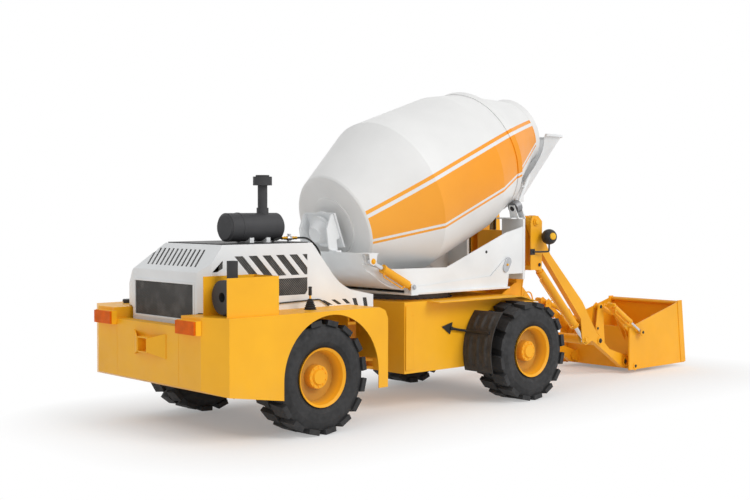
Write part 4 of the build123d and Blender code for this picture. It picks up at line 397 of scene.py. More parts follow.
WHEELS = ("front_left", "front_right", "rear_left", "rear_right")
CYLINDERS = ("lift", "tilt", "gate", "cradle")
FINISHES = (
    # material, CAD nodes that wear it
    (tyre_rubber, [f"tyre_{wheel}" for wheel in WHEELS]),
    (rim_yellow, [f"rim_{wheel}" for wheel in WHEELS]),
    (arm_yellow, ("loading_arms", "boom_tower", "bucket_back", "bucket_gate")),
    (arm_yellow, [f"{name}_cylinder_barrels" for name in CYLINDERS]),
    (yellow, ("front_frame", "rear_frame", "rear_body", "tow_bracket", "lamp_housings", "guard_box",
              "cab_platform", "cab_shell", "cab_door")),
    (white, ("hood", "cradle", "gearbox_pedestal", "drum_gearbox", "roller_brackets", "hopper", "slew_base",
             "cab_roof", "cleaner_brackets")),
    (band_drum, ("drum",)),
    (black_paint, ("front_axle", "rear_axle", "hood_top", "cab_hinges", "cab_controls", "work_lamp")),
    (muffler_grey, ("muffler", "air_cleaner", "engine")),
    (guard_rubber, ("front_mudguards",)),
    (chrome, [f"{name}_cylinder_rods" for name in CYLINDERS]),
    (steel, ("drum_rollers", "articulation_pins")),
    (dark_steel, ("slew_ring",)),
    (screen, ("hood_mesh",)),
    (red_lens, ("tail_lamps",)),
    (glass_tinted_as_shade, ("cab_glass", "cab_door_glass")),
    (black_vinyl, ("cab_seat",)),
)
for material, names in FINISHES:
    for name in names:
        mesh = nodes[name].data
        mesh.materials.clear()
        mesh.materials.append(material)


# Ways of making pieces
def placed(name, data):
    """A new object of the scene with this data."""
    made = bpy.data.objects.new(name, data)
    bpy.context.scene.collection.objects.link(made)
    return made


def finished(name, body, material, bm, bevel=0.0, sharp=35.0):
    """Turn the mesh being built into a piece with its material, riding on a body."""
    mesh = bpy.data.meshes.new(name)
    bmesh.ops.recalc_face_normals(bm, faces=bm.faces)
    bm.to_mesh(mesh)
    bm.free()
    mesh.shade_smooth()
    mesh.set_sharp_from_angle(angle=math.radians(sharp))
    mesh.materials.append(material)
    made = placed(name, mesh)
    if bevel:
        rounding = made.modifiers.new("rounding", "BEVEL")
        rounding.width = bevel
        rounding.segments = 2
        rounding.limit_method = "ANGLE"
    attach(made, body)
    return made


def thicken(sheet, thickness, offset):
    """Give an open sheet its thickness, about its face for an offset of 0 and behind it for -1."""
    walls = sheet.modifiers.new("thickness", "SOLIDIFY")
    walls.thickness = thickness
    walls.offset = offset


def around(count, radius, first=0.0):
    """Points evenly round a circle, as pairs, the first one so many steps past the circle's start."""
    turns = [2 * math.pi * (index + first) / count for index in range(count)]
    return [(radius * math.cos(turn), radius * math.sin(turn)) for turn in turns]


def add_box(bm, low, high):
    """A box between two corners."""
    made = bmesh.ops.create_cube(bm, size=1.0)
    for vertex in made["verts"]:
        vertex.co = Vector((a + b) / 2 + c * (b - a) for a, b, c in zip(low, high, vertex.co))


def add_plate(bm, outline, near, far):
    """A flat plate: its outline in x and z, drawn out along Y."""
    inner = [bm.verts.new((x, near, z)) for x, z in outline]
    outer = [bm.verts.new((x, far, z)) for x, z in outline]
    bm.faces.new(inner)
    bm.faces.new(outer)
    for index in range(len(outline)):
        after = (index + 1) % len(outline)
        bm.faces.new((inner[index], inner[after], outer[after], outer[index]))


def add_turned(bm, at, direction, outline, sides):
    """A closed form turned about a line, its outline given as distance along the line and radius."""
    turn = Vector(direction).to_track_quat("Z", "Y")
    rings = []
    for along, radius in outline:
        points = around(sides, radius) if radius else ((0.0, 0.0),)
        rings.append([bm.verts.new(Vector(at) + turn @ Vector((x, y, along))) for x, y in points])
    for first, second in zip(rings, rings[1:]):
        for index in range(sides):
            after = (index + 1) % sides
            if len(first) == 1:
                bm.faces.new((first[0], second[index], second[after]))
            elif len(second) == 1:
                bm.faces.new((first[index], second[0], first[after]))
            else:
                bm.faces.new((first[index], second[index], second[after], first[after]))


def closed(*steps):
    """An outline for add_turned that runs in to its line at both ends."""
    return ((steps[0][0], 0.0), *steps, (steps[-1][0], 0.0))


def bar(length, radius):
    """The outline of a plain round bar."""
    return closed((0.0, radius), (length, radius))


# Bolts, as shares of the head's size across: the washer, and the head's height, sides, corners and top
WASHER_THICK = 0.07
WASHER_RADIUS = 0.82
HEAD_TALL = 0.32
HEAD_SIDE = 0.256
HEAD_RADIUS = 0.577
TOP_RADIUS = 0.48


def add_bolt(bm, at, direction, across):
    """A hexagon head on its washer, its seat at the point and looking along the direction."""
    thick = across * WASHER_THICK
    add_turned(bm, at, direction, bar(thick, across * WASHER_RADIUS), 20)
    seat = Vector(at) + Vector(direction).normalized() * thick
    corner = across * HEAD_RADIUS
    head = closed((0.0, corner), (across * HEAD_SIDE, corner), (across * HEAD_TALL, across * TOP_RADIUS))
    add_turned(bm, seat, direction, head, 6)


def make_boxed(table):
    """Pieces made of plain boxes."""
    for name, body, material, rounding, boxes in table:
        bm = bmesh.new()
        for low, high in boxes:
            add_box(bm, low, high)
        finished(name, body, material, bm, bevel=rounding)


def at_side(route, y):
    """Points of a route given in x and z, at one distance from the middle."""
    return [(x, y, z) for x, z in route]


def pipe(name, body, material, points, radius):
    """A bent pipe or hose on a smooth line through a few given points."""
    data = bpy.data.curves.new(name, "CURVE")
    data.dimensions = "3D"
    data.bevel_depth = radius
    data.bevel_resolution = 3
    data.resolution_u = 10
    data.use_fill_caps = True
    line = data.splines.new("NURBS")
    line.points.add(len(points) - 1)
    for slot, point in zip(line.points, points):
        slot.co = (*point, 1.0)
    line.order_u = 3
    line.use_endpoint_u = True
    data.materials.append(material)
    made = placed(name, data)
    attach(made, body)
    return made


def line_length(curve):
    """The length of a piece's centre line."""
    bare = curve.copy()
    bare.data = curve.data.copy()
    bare.data.bevel_depth = 0.0
    mesh = bpy.data.meshes.new_from_object(bare)
    points = [vertex.co for vertex in mesh.vertices]
    total = sum((b - a).length for a, b in zip(points, points[1:]))
    bpy.data.objects.remove(bare)
    return total


# Seat: foam cushion and backrest under grained vinyl, on a bellows pedestal
SEAT_Y = 0.931
PAD_CUTS = 23
PAD_ROUNDNESS = 7
PAD_WAIST = 0.035
CHANNEL_DEPTH = 0.011
CROSS_WIDTH = 0.05
LONG_WIDTH = 0.045
LONG_CHANNELS = (-0.62, 0.62)
PADS = (
    # name, half sizes, crown, channels across it, place, lean
    ("seat_cushion", (0.198, 0.216, 0.052), 0.012, (-0.1,), (1.222, SEAT_Y, 1.203), 0.0),
    ("seat_backrest", (0.270, 0.206, 0.040), 0.010, (-0.35, 0.35), (1.030, SEAT_Y, 1.530),
     math.radians(-91.708)),
)
BELLOWS_X = 1.19
BELLOWS_Z = 0.83
BELLOWS_FOLDS = 6
FOLD = 0.048
FOLD_INNER = 0.125
FOLD_OUTER = 0.150
BELLOWS_TOP = BELLOWS_Z + BELLOWS_FOLDS * FOLD
SEAT_PLATES = (
    # x from and to, half width, z from and to
    (1.05, 1.33, 0.15, 0.80, BELLOWS_Z),
    (1.04, 1.38, 0.18, BELLOWS_TOP, BELLOWS_TOP + 0.034),
)


def channel(place, at, width, other):
    """Depth of a sewn channel, from the shares of the pad across it and along it."""
    return CHANNEL_DEPTH * math.exp(-(((place - at) / width) ** 2)) * (1 - other ** 6)


def pad(name, half, crown, cross_channels, place, lean):
    """A stuffed pad: rounded, crowned in the middle, its sides drawn in, with sewn channels both ways."""
    bm = bmesh.new()
    bmesh.ops.create_cube(bm, size=2.0)
    bmesh.ops.subdivide_edges(bm, edges=bm.edges[:], cuts=PAD_CUTS, use_grid_fill=True)
    for vertex in bm.verts:
        norm = sum(abs(share) ** PAD_ROUNDNESS for share in vertex.co) ** (1 / PAD_ROUNDNESS)
        u, v, w = (share / norm for share in vertex.co)
        waist = 1.0 - PAD_WAIST * (1 - abs(u * v)) * (1 - w * w)
        x, y, z = half[0] * u * waist, half[1] * v * waist, half[2] * w
        if w > 0:
            z += crown * (1 - u * u) * (1 - v * v)
            z -= sum(channel(u, at, CROSS_WIDTH, v) for at in cross_channels)
            z -= sum(channel(v, at, LONG_WIDTH, u) for at in LONG_CHANNELS)
        forward = x * math.cos(lean) + z * math.sin(lean)
        upward = z * math.cos(lean) - x * math.sin(lean)
        vertex.co = Vector(place) + Vector((forward, y, upward))
    made = finished(name, FRONT, black_vinyl, bm, sharp=60.0)
    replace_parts(made, "cab_seat")


def make_seat():
    """The two pads, and the pedestal between two plates."""
    for row in PADS:
        pad(*row)
    bm = bmesh.new()
    for x_from, x_to, half, z_from, z_to in SEAT_PLATES:
        add_box(bm, (x_from, SEAT_Y - half, z_from), (x_to, SEAT_Y + half, z_to))
    fold = closed((0, FOLD_INNER), (FOLD / 2, FOLD_OUTER), (FOLD, FOLD_INNER))
    for index in range(BELLOWS_FOLDS):
        add_turned(bm, (BELLOWS_X, SEAT_Y, BELLOWS_Z + index * FOLD), UP, fold, 4)
    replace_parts(finished("seat_pedestal", FRONT, black_paint, bm, bevel=0.004), "cab_seat")


PIN_HEADS = (
    # name, body, pin, distance from the middle, size across, material
    ("arm_pivot", FRONT, ARM_PIVOT, 0.523, 0.062, yellow),
    ("lift_base", FRONT, LIFT_BASE, 0.523, 0.030, black_paint),
    ("lift_eye", "arms", LIFT_EYE, 0.490, 0.050, yellow),
    ("tilt_base", "arms", TILT_BASE, 0.496, 0.030, black_paint),
    ("arm_end", "bucket", ARM_END, 0.515, 0.030, black_paint),
    ("tilt_eye", "bucket", TILT_EYE, 0.490, 0.032, yellow),
    ("gate_base", "bucket", GATE_BASE, 0.683, 0.030, yellow),
    ("gate_pin", "bucket", GATE_PIN, 0.608, 0.026, black_paint),
    ("gate_eye", "gate_rods", GATE_EYE, 0.677, 0.026, black_paint),
    ("cradle_low", "turntable", CRADLE_LOW, 0.7705, 0.036, zinc),
    ("cradle_high", "drum_carrier", CRADLE_HIGH, 0.7645, 0.040, yellow),
)
BOSSES = (
    # name, body, pin, distance from the middle, radius, height
    ("link_boss", "arms", LINK_LOW, 0.486, 0.052, 0.016),
    ("link_mid_boss", "arms", LINK_MIDDLE, 0.486, 0.032, 0.012),
    ("tilt_base_boss", "arms", TILT_BASE, 0.486, 0.044, 0.010),
    ("lift_eye_boss", "arms", LIFT_EYE, 0.480, 0.056, 0.010),
    ("arm_end_boss", "bucket", ARM_END, 0.503, 0.048, 0.012),
    ("gate_pin_boss", "bucket", GATE_PIN, 0.596, 0.046, 0.012),
    ("gate_eye_boss", "gate_rods", GATE_EYE, 0.665, 0.052, 0.012),
)
BOSS_CHAMFER = 0.003
LINK_BOLTS = (
    # pin, distance from the middle, size across
    (LINK_LOW, 0.502, 0.040),
    (LINK_MIDDLE, 0.498, 0.024),
)


def make_pin_heads():
    """Caps and bolts on both ends of the pins."""
    for name, body, (x, z), reach, across, material in PIN_HEADS:
        bm = bmesh.new()
        for side in (1, -1):
            add_bolt(bm, (x, side * reach, z), (0, side, 0), across)
        finished(f"{name}_caps", body, material, bm, bevel=0.001)


def make_bosses():
    """Bosses welded round the pins of the arms and the bucket, and the bolts of the links."""
    for name, body, (x, z), reach, radius, height in BOSSES:
        bm = bmesh.new()
        ring = closed((0.0, radius), (height - BOSS_CHAMFER, radius), (height, radius - BOSS_CHAMFER))
        for side in (1, -1):
            add_turned(bm, (x, side * reach, z), (0, side, 0), ring, 28)
        finished(name, body, arm_yellow, bm)
    bm = bmesh.new()
    for side in (1, -1):
        for (x, z), reach, across in LINK_BOLTS:
            add_bolt(bm, (x, side * reach, z), (0, side, 0), across)
    finished("link_bolts", "arms", black_paint, bm, bevel=0.001)


# Wheels: their nuts' count, circle and size, the hub's face outside the wheel's middle, the wheels' places
NUTS = 10
NUT_CIRCLE = 0.101
NUT_SIZE = 0.020
HUB_FACE = 0.128
AXLE_Z = 0.5875
WHEEL_Y = 0.99
AXLES = (("front", 0.26), ("rear", -3.0))

# Slewing ring: its middle, its bolts' count, circle and size, and its top
SLEW_X = -0.74
RING_BOLTS = 40
RING_CIRCLE = 0.575
RING_BOLT_SIZE = 0.022
RING_TOP = 1.235

# Drum rollers: distance from the drum's axis, angle to each side, half length with brackets, bolt size
ROLLER_AWAY = 0.8905
ROLLER_ANGLE = math.radians(38.0)
ROLLER_REACH = 0.062
ROLLER_BOLT_SIZE = 0.040


def make_wheel_nuts():
    """A ring of nuts on each hub."""
    for axle, x in AXLES:
        for side, tag in SIDES:
            bm = bmesh.new()
            for nut_x, nut_z in around(NUTS, NUT_CIRCLE, first=0.5):
                at = (x + nut_x, side * (WHEEL_Y + HUB_FACE), AXLE_Z + nut_z)
                add_bolt(bm, at, (0, side, 0), NUT_SIZE)
            finished(f"wheel_nuts_{axle}_{tag}", f"wheel_{axle}_{tag}", arm_yellow, bm)


def roller_centre(side):
    """Where a drum roller turns: below the track ring, to one side."""
    down = ROLLER_AWAY * math.cos(ROLLER_ANGLE)
    return Vector((DRUM_AT[0] + TRACK_ALONG * DRUM_AXIS[0] + down * DRUM_AXIS[2],
                   side * ROLLER_AWAY * math.sin(ROLLER_ANGLE),
                   DRUM_AT[2] + TRACK_ALONG * DRUM_AXIS[2] - down * DRUM_AXIS[0]))


def make_slewing_bolts():
    """Bolts round the slewing ring and at both ends of the rollers."""
    bm = bmesh.new()
    for x, y in around(RING_BOLTS, RING_CIRCLE):
        add_bolt(bm, (SLEW_X + x, y, RING_TOP), UP, RING_BOLT_SIZE)
    finished("ring_bolts", FRONT, dark_steel, bm)
    bm = bmesh.new()
    for side in (1, -1):
        for way in (1, -1):
            outward = Vector(DRUM_AXIS) * way
            add_bolt(bm, roller_centre(side) + outward * ROLLER_REACH, outward, ROLLER_BOLT_SIZE)
    finished("roller_bolts", "drum_carrier", black_paint, bm, bevel=0.001)


# Keeper plates of the cradle's pivots: two half rounds drawn apart along a lean, from near to far in Y
KEEPER_SIDES = 28
KEEPER_RADIUS = 0.052
KEEPER_SHIFT = 0.045
KEEPER_LONG = (0.5, 0.866)
KEEPER_WIDE = (0.866, -0.5)
KEEPER_NEAR = 0.6621
KEEPER_FAR = 0.6760
NIPPLE = ((0, 0), (0, 0.016), (0.012, 0.012), (0.016, 0))
# Bolt on the cradle's side: x, distance from the middle, z and size
CRADLE_BOLT = (0.03, 0.646, 1.762, 0.022)


def make_cradle_pins():
    """Keeper plates over the pivot pins with their grease nipples, and small bolts on the cradle's sides."""
    outline = []
    for long, wide in around(KEEPER_SIDES, KEEPER_RADIUS):
        long += math.copysign(KEEPER_SHIFT, long)
        outline.append(tuple(pivot + long * a + wide * b
                             for pivot, a, b in zip(CRADLE_PIVOT, KEEPER_LONG, KEEPER_WIDE)))
    for side, tag in SIDES:
        bm = bmesh.new()
        add_plate(bm, outline, side * KEEPER_NEAR, side * KEEPER_FAR)
        finished(f"pivot_keeper_{tag}", "turntable", zinc, bm, bevel=0.002)
    bm = bmesh.new()
    for side in (1, -1):
        add_turned(bm, (CRADLE_PIVOT[0], side * KEEPER_FAR, CRADLE_PIVOT[1]), (0, side, 0), NIPPLE, 16)
    finished("pivot_grease_nipples", "turntable", yellow, bm)
    x, out, z, across = CRADLE_BOLT
    bm = bmesh.new()
    for side in (1, -1):
        add_bolt(bm, (x, side * out, z), (0, side, 0), across)
    finished("cradle_side_bolts", "drum_carrier", black_paint, bm)


# Water and oil valve on the hood, with brass unions and its hoses
VALVE_Y = -0.60
VALVE_Z = 1.984
VALVE_REAR = -3.000
VALVE_FRONT = -2.936
VALVE_FOOT_Z = 1.945
VALVE_FOOT_LONG = 0.032
VALVE_FOOT_WIDE = 0.028
VALVE_BODY = closed((0, 0.020), (0.012, 0.026), (0.052, 0.026), (0.064, 0.020))
VALVE_STEM = closed((0, 0.014), (0.036, 0.014), (0.036, 0.022), (0.044, 0.022))
UNION = closed((0, 0.020), (0.030, 0.020), (0.030, 0.015), (0.050, 0.015), (0.050, 0.018), (0.066, 0.018))
HOSE_RADIUS = 0.0105
HOSES = (
    # name, points
    ("valve_hose_rear", ((-3.064, -0.60, 1.984), (-3.110, -0.60, 1.984), (-3.150, -0.598, 1.975),
                         (-3.175, -0.590, 1.950), (-3.180, -0.585, 1.944))),
    ("valve_hose_front", ((-2.872, -0.60, 1.984), (-2.800, -0.595, 1.986), (-2.700, -0.570, 1.978),
                          (-2.600, -0.530, 1.935), (-2.500, -0.495, 1.875), (-2.430, -0.470, 1.790),
                          (-2.430, -0.462, 1.660), (-2.520, -0.462, 1.590))),
)


def make_valve():
    """The valve on its foot, its two unions and two hoses."""
    middle = (VALVE_REAR + VALVE_FRONT) / 2
    bm = bmesh.new()
    add_turned(bm, (VALVE_REAR, VALVE_Y, VALVE_Z), (1, 0, 0), VALVE_BODY, 20)
    add_turned(bm, (middle, VALVE_Y, VALVE_Z), UP, VALVE_STEM, 16)
    add_box(bm, (middle - VALVE_FOOT_LONG / 2, VALVE_Y - VALVE_FOOT_WIDE / 2, VALVE_FOOT_Z),
            (middle + VALVE_FOOT_LONG / 2, VALVE_Y + VALVE_FOOT_WIDE / 2, VALVE_Z))
    finished("valve_body", REAR, zinc, bm, bevel=0.0015)
    bm = bmesh.new()
    for start, way in ((VALVE_REAR, -1), (VALVE_FRONT, 1)):
        add_turned(bm, (start, VALVE_Y, VALVE_Z), (way, 0, 0), UNION, 6)
    finished("valve_unions", REAR, brass, bm, bevel=0.001)
    for name, points in HOSES:
        hose = pipe(name, REAR, hose_rubber, points, HOSE_RADIUS)
        line_length(hose)


# Hand lever with its boot on the right fender, latch on its front end, and filler cap on the left fender
FENDER_TOP = 1.259
LEVER_X = -2.973
LEVER_Y = -0.95
FILLER_X = -3.905
FILLER_Y = 1.035
BOOT_FOLDS = 5
FOLD_RISE = 0.019
FOLD_TAPER = 0.007
GRIP = closed((0.0, 0.014), (0.010, 0.019), (0.070, 0.017), (0.084, 0.020), (0.092, 0.014))
FILLER_CAP = closed((0.0, 0.052), (0.014, 0.052), (0.014, 0.060), (0.036, 0.060), (0.042, 0.054))
LATCH = (
    # name, body, material, rounding, boxes as low and high corners
    ("fender_latch", REAR, gasket_rubber, 0.008,
     (((-2.160, -1.072, 1.112), (-2.050, -1.028, 1.156)),)),
    ("latch_tip", REAR, yellow, 0.006,
     (((-2.052, -1.068, 1.116), (-2.000, -1.032, 1.152)),)),
)

# Handrail along the hood's foot, and its short stays: distances from the middle, and x and z of their points
RAIL_Y = 0.774
RAIL_RADIUS = 0.007
RAIL = ((-3.330, 1.326), (-2.740, 1.342), (-2.690, 1.338), (-2.600, 1.285), (-2.570, 1.268))
STAY_Y = 0.758
STAYS = ((-3.31, 1.3265), (-3.03, 1.334), (-2.78, 1.341))
STAY = bar(0.018, 0.006)


def make_fender_fittings():
    """The lever, the latch on the fender's front end, and the filler cap."""
    boot = [(0.0, 0.0)]
    for fold in range(BOOT_FOLDS):
        rise = fold * FOLD_RISE
        taper = fold * FOLD_TAPER
        boot += [(0.002 + rise, 0.068 - taper), (0.012 + rise, 0.056 - taper)]
    boot += [(0.104, 0.026), (0.112, 0.018), (0.112, 0.0)]
    lever = (
        # name, material, height over the fender, outline, sides, rounding
        ("lever_boot", gasket_rubber, 0.0, boot, 28, 0.0),
        ("lever_shaft", yellow, 0.10, bar(0.060, 0.011), 16, 0.0),
        ("lever_grip", black_paint, 0.145, GRIP, 20, 0.001),
    )
    for name, material, over, outline, sides, rounding in lever:
        bm = bmesh.new()
        add_turned(bm, (LEVER_X, LEVER_Y, FENDER_TOP + over), UP, outline, sides)
        finished(name, REAR, material, bm, bevel=rounding)
    make_boxed(LATCH)
    bm = bmesh.new()
    add_turned(bm, (FILLER_X, FILLER_Y, FENDER_TOP), UP, FILLER_CAP, 28)
    finished("filler_cap", REAR, black_paint, bm, bevel=0.0015)


def make_rails():
    """A handrail on each side of the hood, on its stays."""
    for side, tag in SIDES:
        pipe(f"hood_rail_{tag}", REAR, black_paint, at_side(RAIL, side * RAIL_Y), RAIL_RADIUS)
        bm = bmesh.new()
        for at in at_side(STAYS, side * STAY_Y):
            add_turned(bm, at, (0, side, 0), STAY, 10)
        finished(f"hood_rail_stays_{tag}", REAR, black_paint, bm)


BARRELS = (
    # name, body, base pin, eye pin, distance from the middle, barrel's radius, pipe's start and end, its side
    ("lift", "lift_barrels", LIFT_BASE, LIFT_EYE, 0.45, 0.054, 0.20, 1.13, -1),
    ("tilt", "tilt_barrels", TILT_BASE, TILT_EYE, 0.45, 0.036, 0.10, 0.29, 1),
    ("gate", "gate_barrels", GATE_BASE, GATE_EYE, 0.644, 0.034, 0.09, 0.45, -1),
    ("cradle", "cradle_barrels", CRADLE_LOW, CRADLE_HIGH, 0.724, 0.046, 0.12, 0.46, 1),
)
BARREL_PIPE = (
    # end of the pipe (0 start, 1 end), shift along the barrel, height over its skin
    (0, 0.0, -0.004),
    (0, 0.0, 0.030),
    (0, 0.05, 0.032),
    (1, -0.05, 0.032),
    (1, 0.0, 0.030),
    (1, 0.0, 0.002),
)
PIPE_RADIUS = 0.007
PIPE_OUT = 0.010
PIPE_UNION = bar(0.022, 0.013)
UNION_SUNK = 0.008
ARCH_RADIUS = 0.009
ARCHES = (
    # name, x and z of the points, distance from the middle
    ("arch_high", ((0.860, 1.095), (0.900, 1.205), (0.990, 1.235), (1.060, 1.190), (1.075, 1.090)), 0.50),
    ("arch_low", ((0.930, 1.090), (0.950, 1.150), (1.010, 1.160), (1.050, 1.130), (1.055, 1.090)), 0.46),
    ("arch_tower", ((0.940, 1.090), (0.945, 1.240), (0.960, 1.330), (0.985, 1.430), (1.012, 1.530)), 0.42),
)


def make_barrel_pipes():
    """A steel pipe along each cylinder's barrel, with a union at each end."""
    for name, body, base, eye, out, radius, first, last, way in BARRELS:
        ends = (first, last)
        run = math.dist(base, eye)
        towards = Vector(((eye[0] - base[0]) / run, 0.0, (eye[1] - base[1]) / run))
        away = Vector((-way * towards.z, 0.0, way * towards.x))
        bases = {side: Vector((base[0], side * (out + PIPE_OUT), base[1])) for side in (1, -1)}
        for side, tag in SIDES:
            route = [bases[side] + towards * (ends[end] + shift) + away * (radius + over)
                     for end, shift, over in BARREL_PIPE]
            pipe(f"{name}_pipe_{tag}", body, arm_yellow, route, PIPE_RADIUS)
        bm = bmesh.new()
        for start in bases.values():
            for along in ends:
                at = start + towards * along + away * (radius - UNION_SUNK)
                add_turned(bm, at, away, PIPE_UNION, 6)
        finished(f"{name}_unions", body, arm_yellow, bm)


def make_arches():
    """Steel pipes that arch from the deck to the boom tower."""
    for name, route, out in ARCHES:
        for side, tag in SIDES:
            pipe(f"{name}_{tag}", FRONT, arm_yellow, at_side(route, side * out), ARCH_RADIUS)


# Work lamp: a black ball with its yellow lens, on a bent rod from the boom tower
LAMP_AT = Vector((1.242, -0.623, 1.923))
LAMP_LOOK = Vector((-0.25, -0.92, 0.10)).normalized()
LAMP_RADIUS = 0.099
LENS_RADIUS = 0.050
SHELL_STEPS = 14
DOME_STEPS = 6
RECESS = 0.008
RECESS_RADIUS = 0.046
DOME_DEPTH = 0.010
DOME_RADIUS = 0.045
DOME_EDGE = 0.010
DOME_RISE = 0.012
FOOT_LOW = (0.995, -0.5225, 1.695)
FOOT_HIGH = (1.085, -0.5152, 1.770)
FOOT_BOLTS = ((1.012, -0.5225, 1.752), (1.012, -0.5225, 1.712))
FOOT_BOLT_SIZE = 0.016
ROD_RADIUS = 0.011
ROD = ((1.242, -0.623, 1.832), (1.242, -0.623, 1.760), (1.238, -0.621, 1.738), (1.210, -0.608, 1.733),
       (1.100, -0.552, 1.733), (1.050, -0.528, 1.733))


def make_lamp():
    """The ball, its domed lens, the rod and its bolted foot."""
    lens_seat = math.sqrt(LAMP_RADIUS ** 2 - LENS_RADIUS ** 2)
    half_turn = math.pi - math.asin(LENS_RADIUS / LAMP_RADIUS)
    shell = [(-LAMP_RADIUS, 0.0)]
    for step in range(1, SHELL_STEPS + 1):
        angle = half_turn * step / SHELL_STEPS
        shell.append((-LAMP_RADIUS * math.cos(angle), LAMP_RADIUS * math.sin(angle)))
    shell += [(lens_seat - RECESS, RECESS_RADIUS), (lens_seat - RECESS, 0.0)]
    bm = bmesh.new()
    add_turned(bm, LAMP_AT, LAMP_LOOK, shell, 40)
    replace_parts(finished("lamp_shell", FRONT, black_paint, bm, sharp=50.0), "work_lamp")
    dome = [(0.0, 0.0), (0.0, DOME_RADIUS)]
    for step in range(1, DOME_STEPS):
        angle = math.pi / 2 * step / DOME_STEPS
        dome.append((DOME_EDGE + DOME_RISE * math.sin(angle), DOME_RADIUS * math.cos(angle)))
    dome.append((DOME_EDGE + DOME_RISE, 0.0))
    bm = bmesh.new()
    add_turned(bm, LAMP_AT + LAMP_LOOK * (lens_seat - DOME_DEPTH), LAMP_LOOK, dome, 36)
    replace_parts(finished("lamp_glass", FRONT, amber_lens, bm, sharp=60.0), "work_lamp")
    lamp_rod = pipe("lamp_rod", FRONT, black_paint, ROD, ROD_RADIUS)
    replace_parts(lamp_rod, "work_lamp")
    bm = bmesh.new()
    add_box(bm, FOOT_LOW, FOOT_HIGH)
    for at in FOOT_BOLTS:
        add_bolt(bm, at, (0, -1, 0), FOOT_BOLT_SIZE)
    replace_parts(finished("lamp_foot", FRONT, black_paint, bm, bevel=0.001), "work_lamp")


# Front mudguards: the sheet from the frame outwards, x and z of its top, middle and foot, and its beads
GUARD_IN = 0.757
GUARD_OUT = 1.193
GUARD_LINE = ((-0.288, 1.085), (-0.470, 0.760), (-0.452, 0.390))
GUARD_THICK = 0.008
ROWS = 40
COLUMNS = 66
BEADS = (0.858, 0.975, 1.092)
BEAD_HALF = 0.030
BEAD_HEIGHT = 0.016
BEAD_TOP = 0.06
BEAD_FOOT = 0.92
BEAD_FADE = 0.05
# Their tube: its share of the way down, its radius, its height over the sheet, and its route from the frame
TUBE_SHARE = 0.375
TUBE_RADIUS = 0.015
TUBE_OVER = 0.018
TUBE_START = ((-0.690, 0.772, 0.897), (-0.600, 0.772, 0.875))
TUBE_BEND = (-0.02, 0.775, 0.005)
TUBE_ENDS = (0.800, 0.900, 1.140)
# Their arrow-shaped plates on the frame's side, with the boss that holds the tube
FRAME_SIDE = 0.750
ARROW = ((-0.847, 0.925), (-0.673, 0.967), (-0.693, 0.898), (-0.715, 0.829))
ARROW_THICK = 0.014
ARROW_BOSS = bar(0.034, 0.022)
BOSS_X = -0.700
BOSS_Z = 0.898


def guard_place(share):
    """The XZ point on the mudguard's line, and the direction out of its rear side."""
    weights = ((1 - share) * (1 - 2 * share), 4 * share * (1 - share), share * (2 * share - 1))
    slopes = (4 * share - 3, 4 - 8 * share, 4 * share - 1)
    x, z = (sum(w * p[axis] for w, p in zip(weights, GUARD_LINE)) for axis in (0, 1))
    dx, dz = (sum(w * p[axis] for w, p in zip(slopes, GUARD_LINE)) for axis in (0, 1))
    run = math.hypot(dx, dz)
    return x, z, dz / run, -dx / run


def bead_height(share, y):
    """How far the pressed beads stand out of the sheet at a share of the way down and a distance out."""
    room = min(abs(share - TUBE_SHARE) - BEAD_FADE, share - BEAD_TOP, BEAD_FOOT - share)
    fade = min(1.0, max(0.0, room / BEAD_FADE))
    return sum(BEAD_HEIGHT * fade * max(0.0, 1.0 - (abs(y - bead) / BEAD_HALF) ** 2) for bead in BEADS)


def guard_sheet(side):
    """The mudguard's sheet as a grid, with its beads."""
    bm = bmesh.new()
    rows = []
    for down in range(ROWS + 1):
        share = down / ROWS
        x, z, out_x, out_z = guard_place(share)
        row = []
        for across in range(COLUMNS + 1):
            y = GUARD_IN + (GUARD_OUT - GUARD_IN) * across / COLUMNS
            raised = bead_height(share, y)
            row.append(bm.verts.new((x + out_x * raised, side * y, z + out_z * raised)))
        rows.append(row)
    for upper, lower in zip(rows, rows[1:]):
        for across in range(COLUMNS):
            bm.faces.new((upper[across], upper[across + 1], lower[across + 1], lower[across]))
    return bm


def make_mudguards():
    """Rubber sheets, with a tube across each and an arrow-shaped plate on the frame."""
    x, z, out_x, out_z = guard_place(TUBE_SHARE)
    tube_x = x + out_x * TUBE_OVER
    tube_z = z + out_z * TUBE_OVER
    bend = (tube_x + TUBE_BEND[0], TUBE_BEND[1], tube_z + TUBE_BEND[2])
    route = (*TUBE_START, bend, *((tube_x, y, tube_z) for y in TUBE_ENDS))
    for side, tag in SIDES:
        sheet = finished(f"mudguard_{tag}", FRONT, guard_rubber, guard_sheet(side), sharp=70.0)
        thicken(sheet, GUARD_THICK, 0.0)
        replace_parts(sheet, "front_mudguards")
        points = [(x, side * y, z) for x, y, z in route]
        tube = pipe(f"mudguard_tube_{tag}", FRONT, black_paint, points, TUBE_RADIUS)
        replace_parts(tube, "front_mudguards")
        bm = bmesh.new()
        add_plate(bm, ARROW, side * FRAME_SIDE, side * (FRAME_SIDE + ARROW_THICK))
        add_turned(bm, (BOSS_X, side * FRAME_SIDE, BOSS_Z), (0, side, 0), ARROW_BOSS, 16)
        arrow = finished(f"mudguard_arrow_{tag}", FRONT, black_paint, bm, bevel=0.002)
        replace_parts(arrow, "front_mudguards")


